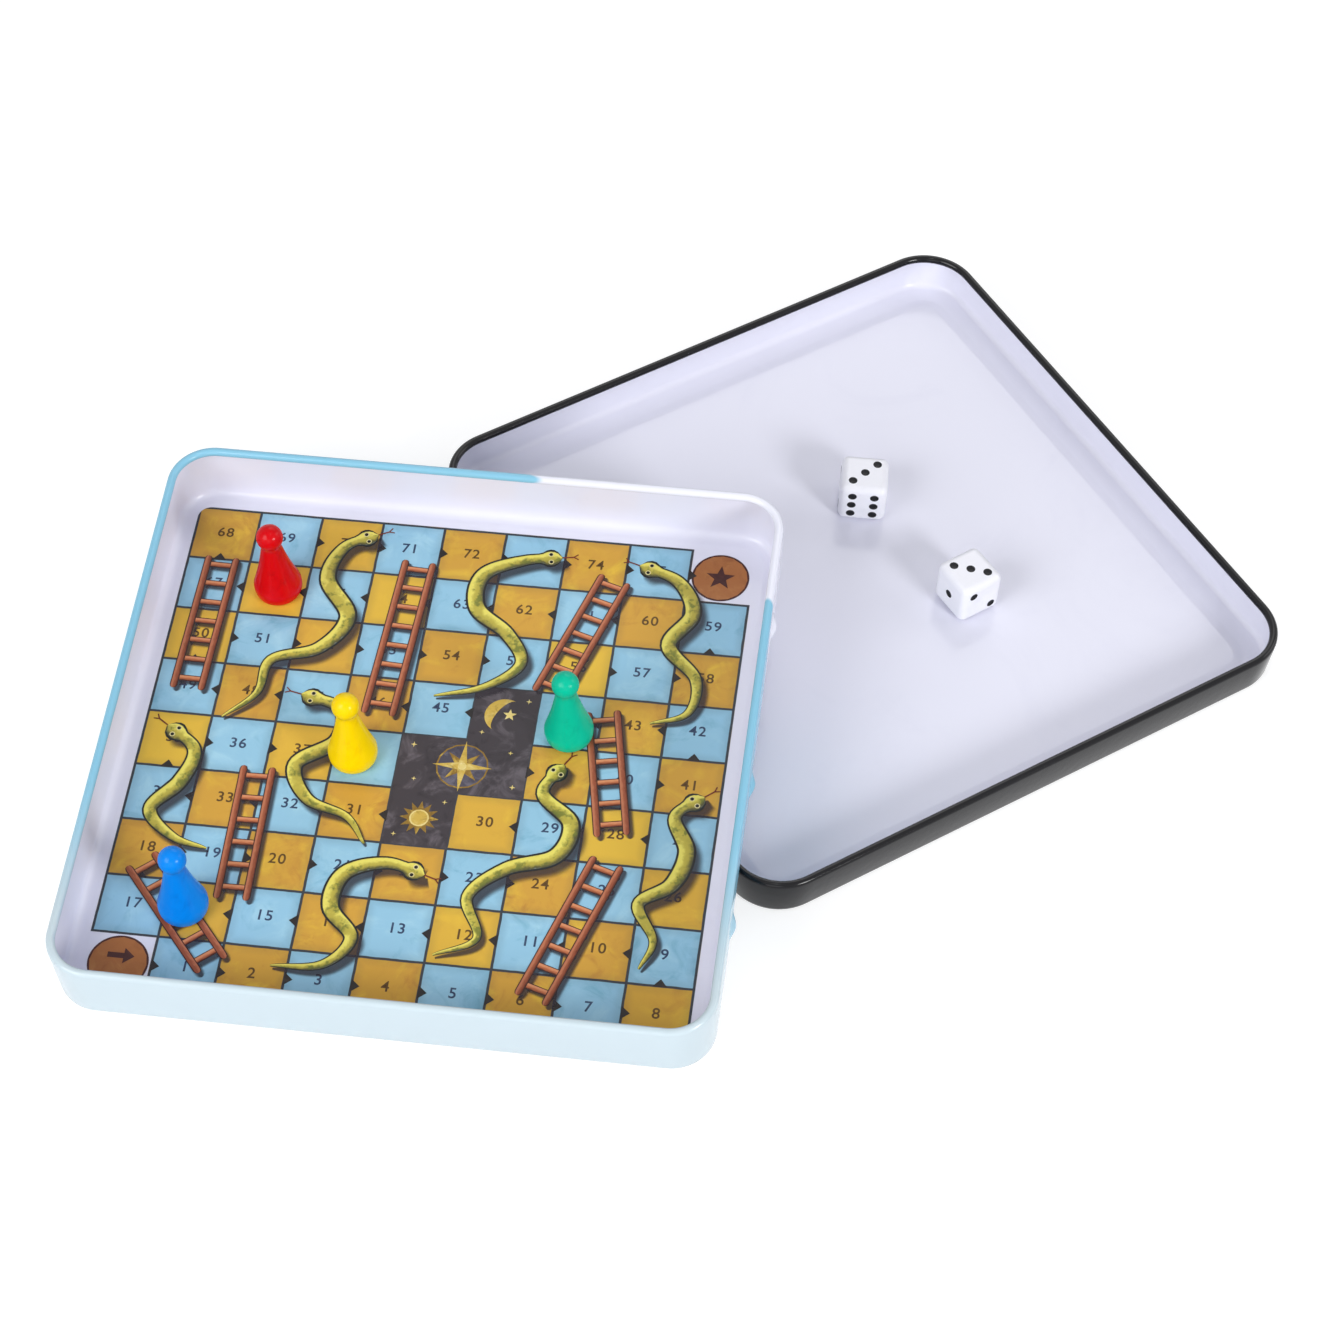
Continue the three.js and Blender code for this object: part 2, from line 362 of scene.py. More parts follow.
def makePiece(name, bm, materials, body, replaced=()):
    piece = meshObject(name, bm)
    for material in materials:
        piece.data.materials.append(material)
    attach(piece, body)
    if replaced:
        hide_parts(*replaced)


def stripBmesh():
    bm = bmesh.new()
    bm.loops.layers.uv.new("ink")
    bm.verts.layers.float.new("shade")
    return bm


def putInPlace(bm, place):
    bm.transform(place @ Matrix.Scale(mm, 4))


def shadeEdges(bm, crease):
    # Smooth shading, but for edges that turn by more than crease, in radians
    for face in bm.faces:
        face.smooth = True
    for edge in bm.edges:
        edge.smooth = edge.calc_face_angle(0) < crease


def roundedLine(corners, steps):
    # Points of a line through corners (x, z, radius), each corner but the ends rounded
    points = [Vector(corners[0][:2])]
    for before, corner, after in zip(corners, corners[1:], corners[2:]):
        here = Vector(corner[:2])
        back = (Vector(before[:2]) - here).normalized()
        ahead = (Vector(after[:2]) - here).normalized()
        half = back.angle(ahead) / 2
        centre = here + (back + ahead).normalized() * (corner[2] / math.sin(half))
        start = here + back * (corner[2] / math.tan(half)) - centre
        end = here + ahead * (corner[2] / math.tan(half)) - centre
        sweep = start.angle_signed(end)
        for step in range(steps + 1):
            points.append(centre + Matrix.Rotation(-sweep * step / steps, 2) @ start)
    points.append(Vector(corners[-1][:2]))
    return points


# Tin trays, in millimetres

tinSheet = {
    "thick": 0.4,
    "bead": 1.9,  # diameter of the rolled rim
    "draft": 0.6,
    "fillet": 2.0,
    "rise": 0.8,  # floor panel above the ring
    "margin": 1.2,  # flat kept round a panel, so that its middle shades flat
    "roundSteps": 5,
    "beadSteps": 22,
    "cornerSteps": 20,
    "crease": math.radians(50),
    "linerFrom": 0.13,  # share of the bead, seen from its inner end, that is liner
}
# Ring: width of the low ring at the foot of the walls. Step: width of the slope from it to the
# panel, below and, as innerStep, above. Groove: how deep the ring lies under the panel above.
boardTray = {
    "node": "board_tin", "side": 139.5, "height": 16.6, "corner": 10.0,
    "ring": 0.6, "step": 1.0, "softness": 0.9, "groove": 0.1, "innerStep": 1.0, "innerSoftness": 0.9,
    "bumpPlaces": (-36.5, -1.1, 40.9),
}
lidTray = {
    "node": "lid_tin", "side": 144.5, "height": 11.0, "corner": 12.65,
    "ring": 4.2, "step": 1.0, "softness": 0.9, "groove": 0.3, "innerStep": 2.2, "innerSoftness": 6.0,
    "bumpPlaces": (),
}
bumps = {  # pressed outward in the right wall
    "length": 8.6,
    "width": 3.9,
    "reach": 1.05,
    "height": 5.7,
    "rows": 6,  # on each side of the middle
    "columns": 14,
}


def trayLine(tray):
    # Section from the underside panel out, up the wall, round the bead and back to the floor
    sheet = tinSheet["thick"]
    fillet = tinSheet["fillet"]
    draft = tinSheet["draft"]
    soft = tray["softness"]
    bead = tinSheet["bead"] / 2
    beadHeight = tray["height"] - bead
    ringEdge = draft + fillet + tray["ring"]
    panelEdge = ringEdge + tray["step"]
    panelStart = panelEdge + tinSheet["margin"]
    slope = draft / (beadHeight - fillet)
    outer = roundedLine([
        (panelStart, tinSheet["rise"]),
        (panelEdge, tinSheet["rise"], soft),
        (ringEdge, 0.0, soft),
        (draft + slope * fillet, 0.0, fillet),
        (0.0, beadHeight),
    ], tinSheet["roundSteps"])
    innerFace = sheet + draft * tinSheet["bead"] / tray["height"]
    tuck = math.acos((bead - innerFace) / bead)
    sweep = 2 * math.pi - tuck
    centre = Vector((bead, beadHeight))
    curl = []
    for step in range(1, tinSheet["beadSteps"] + 1):
        angle = math.pi - sweep * step / tinSheet["beadSteps"]
        curl.append(centre + Vector((math.cos(angle), math.sin(angle))) * bead)
    floor = tinSheet["rise"] + sheet
    groove = floor - tray["groove"]
    innerRing = ringEdge - (tray["innerStep"] - tray["step"]) / 2
    inner = roundedLine([
        tuple(curl[-1]),
        (draft + sheet + slope * (fillet - sheet), groove, fillet - sheet),
        (innerRing, groove, tray["innerSoftness"]),
        (innerRing + tray["innerStep"], floor, tray["innerSoftness"]),
        (panelStart, floor),
    ], tinSheet["roundSteps"])
    if tray["bumpPlaces"]:
        outer[-1:-1] = bumpRows(outer[-2], outer[-1])
        inner[1:1] = bumpRows(inner[0], inner[1])
    linerRow = len(outer) + len(curl) - round(len(curl) * tinSheet["linerFrom"])
    return outer + curl + inner[1:], linerRow


def bumpRows(start, end):
    # Points on the straight wall at the heights of the bumps
    rows = bumps["rows"]
    heights = [bumps["height"] + bumps["width"] / 2 * row / rows for row in range(-rows, rows + 1)]
    heights.sort(reverse=start.y > end.y)
    return [start.lerp(end, (height - start.y) / (end.y - start.y)) for height in heights]


def wallRun(tray, flat, hasBumps):
    # Steps along a straight wall, closer at the bumps
    stops = [-flat, tinSheet["margin"] - flat, flat - tinSheet["margin"], flat]
    if hasBumps:
        columns = bumps["columns"]
        for place in tray["bumpPlaces"]:
            for column in range(-columns, columns + 1):
                stops.append(place + bumps["length"] / 2 * column / columns)
    stops.sort()
    return [after - here for here, after in zip(stops, stops[1:])]


def pressBumps(bm, tray):
    wall = tray["side"] / 2 - tinSheet["fillet"]
    for vert in bm.verts:
        for place in tray["bumpPlaces"]:
            along = (vert.co.y - place) / (bumps["length"] / 2)
            away = math.hypot(along, (vert.co.z - bumps["height"]) / (bumps["width"] / 2))
            if vert.co.x > wall and away < 1:
                vert.co.x += bumps["reach"] * (1 + math.cos(math.pi * away)) / 2


def looseEdges(bm, verts):
    chosen = set(verts)
    return [edge for edge in bm.edges if edge.verts[0] in chosen and edge.verts[1] in chosen]


def makeTray(tray, place, outside, liner, body):
    line, linerRow = trayLine(tray)
    flat = tray["side"] / 2 - tray["corner"]
    bm = bmesh.new()
    rowOf = bm.verts.layers.int.new("row")
    verts = []
    for row, point in enumerate(line):
        vert = bm.verts.new((tray["side"] / 2 - point.x, flat, point.y))
        vert[rowOf] = row
        verts.append(vert)
    for pair in zip(verts, verts[1:]):
        bm.edges.new(pair)
    for quarter in range(4):
        turn = Matrix.Rotation(quarter * math.pi / 2, 3, "Z")
        swept = bmesh.ops.spin(
            bm, geom=verts + looseEdges(bm, verts), cent=turn @ Vector((flat, flat, 0)),
            axis=(0, 0, 1), angle=math.pi / 2, steps=tinSheet["cornerSteps"],
        )
        verts = [item for item in swept["geom_last"] if isinstance(item, bmesh.types.BMVert)]
        for length in wallRun(tray, flat, quarter == 3):
            grown = bmesh.ops.extrude_edge_only(bm, edges=looseEdges(bm, verts))
            verts = [item for item in grown["geom"] if isinstance(item, bmesh.types.BMVert)]
            bmesh.ops.translate(bm, verts=verts, vec=turn @ Vector((-length, 0, 0)))
    bmesh.ops.remove_doubles(bm, verts=bm.verts, dist=tinSheet["thick"] / 100)
    for height in (tinSheet["rise"], tinSheet["rise"] + tinSheet["thick"]):
        rim = [
            edge for edge in bm.edges
            if edge.is_boundary and abs(edge.verts[0].co.z - height) < tinSheet["thick"] / 10
        ]
        bmesh.ops.contextual_create(bm, geom=rim)
    pressBumps(bm, tray)
    bmesh.ops.recalc_face_normals(bm, faces=bm.faces)
    shadeEdges(bm, tinSheet["crease"])
    for face in bm.faces:
        face.material_index = int(min(vert[rowOf] for vert in face.verts) >= linerRow)
    putInPlace(bm, place)
    makePiece(body + "_tray", bm, [outside, liner], body, [tray["node"]])


# Finishes of the tins

enamelColours = {  # where there are three, they are the middle, light and dark shade
    "sky": paint(134, 197, 223),
    "pale": paint(197, 213, 219),
    "patch": paint(238, 239, 250),
    "black": (paint(9, 9, 14), paint(15, 15, 21), paint(5, 5, 9)),
    "liner": (paint(228, 228, 241), paint(228, 228, 241), paint(224, 224, 238)),
    "blackScale": 0.06,
    "linerScale": 0.03,
}
boardPrint = {
    "fadeStart": -62.0,  # the blue fades out towards the front wall
    "fadeEnd": -18.0,
    "patchEdge": (11.0, 69.0, 69.75, 39.2),  # at the rim the pale patch lies beyond this line
    "patchSlant": 0.82,  # and it widens by this much for each millimetre down the wall
    "patchSoft": 0.5,
    "drift": 6.0,  # how unevenly the blue fades
    "driftScale": 0.08,
}


def makeBoardEnamel():
    material, tree, shader = startMaterial("board enamel", "board enamel")
    spot = coordinatesIn(tree, boardPlace)
    axes = addNode(tree, "SeparateXYZ", {0: spot}).outputs
    drift = noise(tree, spot, boardPrint["driftScale"], 3.0)
    drift = calc(tree, "MULTIPLY_ADD", drift, boardPrint["drift"], -boardPrint["drift"] / 2)
    along = calc(tree, "ADD", axes["Y"], drift)
    fade = ease(tree, along, boardPrint["fadeStart"], boardPrint["fadeEnd"])
    blue = blendColour(tree, fade, enamelColours["pale"], enamelColours["sky"])
    startX, startY, endX, endY = boardPrint["patchEdge"]
    across = Vector((startY - endY, endX - startX)).normalized()
    reach = calc(tree, "MULTIPLY", axes["X"], across.x)
    reach = calc(tree, "MULTIPLY_ADD", axes["Y"], across.y, reach)
    reach = calc(tree, "MULTIPLY_ADD", axes["Z"], -boardPrint["patchSlant"], reach)
    rim = boardTray["height"] - tinSheet["bead"] / 2
    edge = across.dot(Vector((startX, startY))) - boardPrint["patchSlant"] * rim
    patch = ease(tree, reach, edge - boardPrint["patchSoft"], edge + boardPrint["patchSoft"])
    colour = blendColour(tree, patch, blue, enamelColours["patch"])
    tree.links.new(colour, shader.inputs["Base Color"])
    finishSurface(tree, shader, spot, "board enamel")
    return material


def makeLiner(name, place):
    return makePlainFinish(name, "liner", place, enamelColours["liner"], enamelColours["linerScale"])


boardEnamel = makeBoardEnamel()
lidEnamel = makePlainFinish(
    "lid enamel", "lid enamel", lidPlace, enamelColours["black"], enamelColours["blackScale"],
)
boardLiner = makeLiner("board liner", boardPlace)
lidLiner = makeLiner("lid liner", lidPlace)
makeTray(boardTray, boardPlace, boardEnamel, boardLiner, "board")
makeTray(lidTray, lidPlace, lidEnamel, lidLiner, "lid")
print("trays made")


# Printed field on the floor of the board tin

field = {
    "square": 14.2,
    "count": 9,
    "middle": (-0.8, -0.3),  # the print lies a little off the middle of the tin
    "floor": 1.2,
    "roundCorner": 3.0,
    "cornerSteps": 8,
    "line": 0.29,  # half width of the grid lines
    "lineEdge": (-0.05, 0.06),  # where a line's edge starts and ends its fade
    "lineWobble": 0.22,
    "rimReach": 2.6,  # each square darkens by rimShade towards its lines
    "rimShade": 0.16,
    "yellowest": 0.85,  # how far the most yellow squares turn to the light ochre
    "yellowFrom": (0.5, 0.9),  # chance values at which a square starts and ends to turn yellow
    "brushJump": 60.0,  # moves the brushwork, so that no two squares are alike
    "blueScale": 0.11,
    "ochreScale": 0.13,
    "darkScale": 0.16,
    "darkCells": ((4, 3), (4, 4), (5, 4), (5, 5)),
    "openCells": ((0, 0), (8, 8)),  # start and finish
}
inkLevels = {  # above the floor, thinner than the gap under a pawn
    "field": 0.02, "discs": 0.025, "discFaces": 0.029, "arrows": 0.03, "numbers": 0.032,
    "motifs": 0.035, "discMarks": 0.035, "snakeShadows": 0.045, "rungShadows": 0.052,
    "railShadows": 0.053, "snakes": 0.055, "rungs": 0.09, "rails": 0.098,
    "tongues": 0.106, "forks": 0.108, "eyes": 0.11, "pupils": 0.114,
}
fieldStart = Vector(field["middle"]) - Vector((1, 1)) * (field["square"] * field["count"] / 2)


def onField(column, row, level=0.0):
    # Millimetre place on the board tin of a place counted in squares
    spot = fieldStart + Vector((column, row)) * field["square"]
    return Vector((spot.x, spot.y, field["floor"] + level))


def walkOfCells():
    # Cells in playing order, from the start round to the finish
    cells = []
    for row in range(field["count"]):
        columns = range(field["count"])
        for column in columns if row % 2 == 0 else reversed(columns):
            if (column, row) not in field["darkCells"]:
                cells.append((column, row))
    return cells


inkColours = {
    # middle, light and dark shade of each ink
    "blue square": (paint(150, 198, 222), paint(168, 212, 230), paint(118, 174, 198)),
    "ochre square": (paint(210, 160, 64), paint(228, 188, 66), paint(190, 134, 58)),
    "dark square ink": (paint(62, 56, 60), paint(112, 104, 110), paint(34, 30, 34)),
    "number ink on ochre": (paint(92, 66, 30), paint(112, 82, 40), paint(70, 48, 22)),
    "number ink on blue": (paint(52, 68, 96), paint(70, 88, 116), paint(40, 52, 78)),
    "arrow ink": (paint(38, 34, 34), paint(58, 50, 46), paint(24, 22, 24)),
    "eye rim ink": (paint(226, 214, 150), paint(236, 226, 170), paint(190, 170, 96)),
    "pupil ink": (paint(22, 22, 20), paint(44, 42, 36), paint(12, 12, 12)),
    "tongue ink": (paint(112, 46, 36), paint(140, 62, 46), paint(70, 30, 26)),
    "shadow ink": (paint(52, 46, 54), paint(66, 58, 62), paint(40, 38, 48)),
    "gold ink": (paint(205, 172, 78), paint(228, 206, 128), paint(140, 108, 44)),
    "old gold ink": (paint(140, 108, 44), paint(205, 172, 78), paint(96, 72, 36)),
    "pale gold ink": (paint(228, 206, 128), paint(240, 226, 170), paint(205, 172, 78)),
    "night ink": (paint(74, 70, 82), paint(120, 116, 128), paint(46, 42, 52)),
    "disc line ink": (paint(70, 36, 34), paint(88, 50, 44), paint(50, 28, 28)),
    "disc ink": (paint(168, 106, 60), paint(186, 126, 72), paint(140, 84, 48)),
}
lineColour = paint(56, 60, 66)


def makeFieldInk():
    material, tree, shader = startMaterial("field ink", "field ink")
    corner = boardPlace @ Matrix.Translation(Vector((fieldStart.x, fieldStart.y, 0)) * mm)
    spot = coordinatesIn(tree, corner)
    squares = addNode(tree, "VectorMath", {0: spot, "Scale": 1 / field["square"]}, operation="SCALE")
    cell = addNode(tree, "VectorMath", {0: squares.outputs[0]}, operation="FLOOR").outputs[0]
    axes = addNode(tree, "SeparateXYZ", {0: cell}).outputs
    flatCell = addNode(tree, "CombineXYZ", {0: axes["X"], 1: axes["Y"], 2: 0.0}).outputs[0]
    odd = calc(tree, "MODULO", calc(tree, "ADD", axes["X"], axes["Y"]), 2.0)
    tint = addNode(tree, "TexWhiteNoise", {"Vector": flatCell}, noise_dimensions="3D").outputs
    inputs = {0: tint["Color"], "Scale": field["brushJump"]}
    jump = addNode(tree, "VectorMath", inputs, operation="SCALE").outputs[0]
    brushed = addNode(tree, "VectorMath", {0: spot, 1: jump}).outputs[0]
    blue = washColour(tree, brushed, inkColours["blue square"], field["blueScale"])
    ochre = washColour(tree, brushed, inkColours["ochre square"], field["ochreScale"])
    yellow = calc(tree, "MULTIPLY", ease(tree, tint["Value"], *field["yellowFrom"]), field["yellowest"])
    ochre = blendColour(tree, yellow, ochre, inkColours["ochre square"][1])
    colour = blendColour(tree, odd, ochre, blue)
    rim = squareEdge(tree, spot)
    shade = ease(tree, rim, field["line"], field["rimReach"], field["rimShade"], 0.0)
    colour = blendColour(tree, shade, colour, lineColour)
    lineStart, lineEnd = field["lineEdge"]
    line = ease(tree, rim, field["line"] + lineStart, field["line"] + lineEnd, 1.0, 0.0)
    colour = blendColour(tree, line, colour, lineColour)
    tree.links.new(colour, shader.inputs["Base Color"])
    finishSurface(tree, shader, spot, "field ink")
    return material


def squareEdge(tree, spot):
    # Distance in millimetres to the nearest side of a square, drawn a little unevenly
    wobble = addNode(tree, "TexNoise", {"Vector": spot, "Scale": 0.35, "Detail": 2.0}).outputs[1]
    wobble = addNode(tree, "VectorMath", {0: wobble, 1: (0.5, 0.5, 0.5)}, operation="SUBTRACT")
    inputs = {0: wobble.outputs[0], "Scale": field["lineWobble"]}
    wobble = addNode(tree, "VectorMath", inputs, operation="SCALE")
    uneven = addNode(tree, "VectorMath", {0: spot, 1: wobble.outputs[0]}).outputs[0]
    axes = addNode(tree, "SeparateXYZ", {0: uneven}).outputs
    sides = [calc(tree, "PINGPONG", axes[axis], field["square"] / 2) for axis in ("X", "Y")]
    return calc(tree, "MINIMUM", *sides)


def makeInk(name, scale=0.4):
    return makePlainFinish(name, "flat ink", boardPlace, inkColours[name], scale)


def makeField():
    bm = bmesh.new()
    half = field["square"] * field["count"] / 2
    bmesh.ops.create_grid(bm, x_segments=field["count"], y_segments=field["count"], size=half)
    middle = Vector((*field["middle"], field["floor"] + inkLevels["field"]))
    bmesh.ops.translate(bm, verts=bm.verts, vec=middle)
    dropped = []
    for face in bm.faces:
        place = (face.calc_center_median().xy - fieldStart) / field["square"]
        cell = (math.floor(place.x), math.floor(place.y))
        face.material_index = int(cell in field["darkCells"])
        if cell in field["openCells"]:
            dropped.append(face)
    bmesh.ops.delete(bm, geom=dropped, context="FACES")
    corners = []
    for column, row in ((0, field["count"]), (field["count"], 0)):
        spot = onField(column, row, inkLevels["field"])
        corners.append(min(bm.verts, key=lambda vert: (vert.co - spot).length))
    for vert in bm.verts:
        if vert.is_boundary:
            inward = sum((face.calc_center_median() - vert.co for face in vert.link_faces), Vector())
            vert.co.x -= math.copysign(min(abs(inward.x), field["line"]), inward.x)
            vert.co.y -= math.copysign(min(abs(inward.y), field["line"]), inward.y)
    bmesh.ops.bevel(
        bm, geom=corners, offset=field["roundCorner"], segments=field["cornerSteps"],
        profile=0.5, affect="VERTICES", material=-1,
    )
    putInPlace(bm, boardPlace)
    inks = [makeFieldInk(), makeInk("dark square ink", field["darkScale"])]
    makePiece("printed_field", bm, inks, "board")


makeField()


# Flat shapes of ink on the field; spots are in millimetres, ink is the place in the piece's inks

def facesOf(verts):
    return {face for vert in verts for face in vert.link_faces}


def inkFaces(verts, ink):
    for face in facesOf(verts):
        face.material_index = ink
        face.normal_update()
        if face.normal.z < 0:
            face.normal_flip()


def addDot(bm, spot, radius, level, ink, segments=16):
    made = bmesh.ops.create_circle(bm, cap_ends=True, segments=segments, radius=radius)["verts"]
    bmesh.ops.translate(bm, verts=made, vec=(spot.x, spot.y, field["floor"] + level))
    inkFaces(made, ink)


def addLine(bm, start, end, width, level, ink):
    made = bmesh.ops.create_grid(bm, x_segments=1, y_segments=1, size=0.5)["verts"]
    ahead = (end - start).normalized()
    side = Vector((-ahead.y, ahead.x))
    for vert in made:
        spot = start + (end - start) * (vert.co.x + 0.5) + side * (vert.co.y * width)
        vert.co = (spot.x, spot.y, field["floor"] + level)
    inkFaces(made, ink)


def addTriangle(bm, spots, level, ink):
    made = bmesh.ops.create_circle(bm, cap_ends=True, segments=3, radius=1)["verts"]
    for vert, spot in zip(made, spots):
        vert.co = (spot.x, spot.y, field["floor"] + level)
    inkFaces(made, ink)


def addStar(bm, spot, outer, level, ink, points, inner, turn):
    made = bmesh.ops.create_circle(bm, cap_ends=True, segments=points * 2, radius=1)["verts"]
    for place, vert in enumerate(made):
        reach = outer if place % 2 == 0 else inner
        angle = turn + math.pi * place / points
        vert.co.x = spot.x + reach * math.cos(angle)
        vert.co.y = spot.y + reach * math.sin(angle)
        vert.co.z = field["floor"] + level
    inkFaces(made, ink)


# Numbers and the arrows from each square to the next

marks = {
    "digitHeight": 2.6,
    "digitShare": 0.73,  # of the font's own size
    "digitSpacing": 1.14,
    "digitWeight": 0.02,  # share of the height that thickens the strokes
    "digitSteps": 5,
    "lift": 0.5,  # numbers stand this far above the middle of their square
    "arrowBase": 3.2,
    "arrowHeight": 1.9,
}


def digitsMesh(text):
    curve = bpy.data.curves.new("digits", "FONT")
    curve.body = text
    curve.size = marks["digitHeight"] / marks["digitShare"]
    curve.space_character = marks["digitSpacing"]
    curve.align_x = "CENTER"
    curve.align_y = "CENTER"
    curve.offset = marks["digitWeight"] * marks["digitHeight"]
    curve.resolution_u = marks["digitSteps"]
    shape = bpy.data.objects.new("digits", curve)
    mesh = bpy.data.meshes.new_from_object(shape)
    bpy.data.objects.remove(shape)
    return mesh


def makeNumbers():
    bm = bmesh.new()
    for number, (column, row) in enumerate(walkOfCells()[:-1]):
        if number == 0:
            continue
        mesh = digitsMesh(str(number))
        spot = onField(column + 0.5, row + 0.5, inkLevels["numbers"])
        mesh.transform(Matrix.Translation(spot + Vector((0, marks["lift"], 0))))
        before = len(bm.faces)
        bm.from_mesh(mesh)
        bm.faces.ensure_lookup_table()
        for face in bm.faces[before:]:
            face.material_index = (column + row) % 2
        bpy.data.meshes.remove(mesh)
    putInPlace(bm, boardPlace)
    inks = [makeInk("number ink on ochre"), makeInk("number ink on blue")]
    makePiece("printed_numbers", bm, inks, "board")


def makeArrows():
    bm = bmesh.new()
    cells = walkOfCells()
    for last, cell in zip(cells, cells[1:]):
        ahead = Vector((cell[0] - last[0], cell[1] - last[1])).normalized()
        side = Vector((-ahead.y, ahead.x))
        middle = Vector(cell) + Vector((0.5, 0.5)) - ahead / 2
        base = onField(*middle).xy - ahead * field["line"] / 2
        addTriangle(bm, [
            base + side * marks["arrowBase"] / 2,
            base - side * marks["arrowBase"] / 2,
            base + ahead * marks["arrowHeight"],
        ], inkLevels["arrows"], 0)
    putInPlace(bm, boardPlace)
    makePiece("printed_arrows", bm, [makeInk("arrow ink")], "board")


makeNumbers()
makeArrows()
print("squares, numbers and arrows printed")


# Strips of ink, for the snakes, the ladders and their shadows

printedLight = {
    "side": Vector((-0.55, 0.83)),  # where the printed light comes from
    "turning": 0.3,  # the smaller, the sooner a side that turns to the light is fully lit
    "shadowDepth": 0.72,
    "shadowEdge": (0.3, 1.0),  # share of a shadow's half width where its fade starts and ends
    "shadowRoughness": 0.4,
    "shadowScale": 0.3,
}
narrowestEnd = 0.02
roundShares = (0.0, 0.12, 0.4, 1.0)  # of the radius, where a round end has its points


def inkStrip(bm, points, widths, level, across):
    # A flat strip along points, with its own UV and the light that falls on each side of it
    uv = bm.loops.layers.uv["ink"]
    shade = bm.verts.layers.float["shade"]
    steps = len(points) - 1
    verts = bmesh.ops.create_grid(bm, x_segments=steps, y_segments=across, size=1)["verts"]
    along = [0.0]
    for here, after in zip(points, points[1:]):
        along.append(along[-1] + (after - here).length)
    marked = {}
    soft = printedLight["turning"]
    for vert in verts:
        step = round((vert.co.x + 1) / 2 * steps)
        side = vert.co.y
        ahead = (points[min(step + 1, steps)] - points[max(step - 1, 0)]).normalized()
        left = Vector((-ahead.y, ahead.x))
        spot = points[step] + left * (side * widths[step] / 2)
        marked[vert] = (along[step], side)
        facing = left.dot(printedLight["side"])
        vert[shade] = side * facing * (1 + soft) / (soft + abs(facing))
        vert.co = (spot.x, spot.y, field["floor"] + level)
    for face in facesOf(verts):
        for loop in face.loops:
            loop[uv].uv = marked[loop.vert]


def smoothPath(points, steps):
    # Smooth curve through the points, with this many steps from each to the next
    ends = [points[0] * 2 - points[1], *points, points[-1] * 2 - points[-2]]
    path = []
    for first, second, third, fourth in zip(ends, ends[1:], ends[2:], ends[3:]):
        for step in range(steps):
            t = step / steps
            path.append(0.5 * (
                second * 2 + (third - first) * t
                + (first * 2 - second * 5 + third * 4 - fourth) * t ** 2
                + (second * 3 - first - third * 3 + fourth) * t ** 3
            ))
    path.append(points[-1].copy())
    return path


def capsule(start, end, width):
    # Line with round ends, as points and widths
    ahead = (end - start).normalized()
    reaches = [width / 2 * share for share in roundShares]
    rounds = [max(width * math.sqrt(1 - (1 - share) ** 2), narrowestEnd) for share in roundShares]
    points = [start + ahead * reach for reach in reaches]
    points += [end - ahead * reach for reach in reversed(reaches)]
    return points, rounds + rounds[::-1]


# Snakes; each runs from its nose to the end of its tail, in squares

snakes = {
    "paths": (
        ((5.95, 8.62), (5.35, 8.5), (4.75, 8.15), (4.75, 7.5),
         (5.3, 7.05), (5.6, 6.5), (5.1, 6.0), (4.35, 5.75)),
        ((2.95, 8.75), (2.45, 8.45), (2.3, 7.8), (2.75, 7.1),
         (2.4, 6.45), (1.7, 6.15), (1.6, 5.5), (1.15, 5.0)),
        ((7.2, 8.6), (7.85, 8.35), (8.15, 7.75), (7.85, 7.1), (8.35, 6.5), (8.3, 5.85), (7.75, 5.6)),
        ((6.55, 4.7), (6.3, 4.15), (6.8, 3.65), (6.65, 3.05),
         (5.95, 2.75), (5.45, 2.2), (5.7, 1.5), (5.1, 1.15)),
        ((0.35, 4.75), (0.85, 4.35), (0.75, 3.75), (0.4, 3.2), (0.85, 2.75), (1.4, 2.6)),
        ((4.75, 2.5), (4.15, 2.65), (3.55, 2.4), (3.45, 1.8), (3.85, 1.3), (3.5, 0.8), (2.75, 0.7)),
        ((8.75, 4.35), (8.35, 3.95), (8.6, 3.35), (8.45, 2.75), (8.0, 2.35), (8.3, 1.75), (8.15, 1.25)),
        ((2.3, 5.55), (2.95, 5.35), (3.0, 4.75), (2.45, 4.25), (2.75, 3.65), (3.4, 3.4), (3.75, 2.95)),
    ),
    "steps": 10,
    "body": 4.3,
    "head": 5.0,
    "neck": 3.0,
    "headLength": 5.8,
    "headShare": 0.9,  # of its length, where the head ends in the neck
    "headRoundness": 0.55,
    "nose": 0.5,
    "noseShare": 0.4,  # of the head's length, that isn't narrower than the nose
    "swell": 17.4,  # the neck widens to the body over this length
    "tail": 0.5,
    "tailShare": 0.55,  # the body narrows over this last share of its length
    "tailRoundness": 0.7,
    "eye": 0.42,
    "eyeRim": 0.63,
    "eyePlace": (2.5, 1.05),
    "tongue": 2.6,
    "tongueWidth": 0.34,  # the tongue is a line with two short ones at its end
    "fork": 1.1,
    "forkSpread": 0.7,
    "forkWidth": 0.28,
    "across": 6,  # faces across a body
    "colours": {
        "Under": paint(126, 138, 132), "Dark": paint(84, 82, 50), "Middle": paint(186, 172, 72),
        "Light": paint(232, 220, 104), "Outline": paint(30, 32, 32),
    },
    "blotchColour": paint(92, 106, 46),
    "levelStep": 0.003,  # each snake lies this much above the one before
    "shadowStep": 0.0008,
    "shadowShift": (1.5, -1.7),
    "shadowShare": 1.35,  # of the body's width
    "leastShift": 0.3,  # share of the shift that a thin part keeps
}


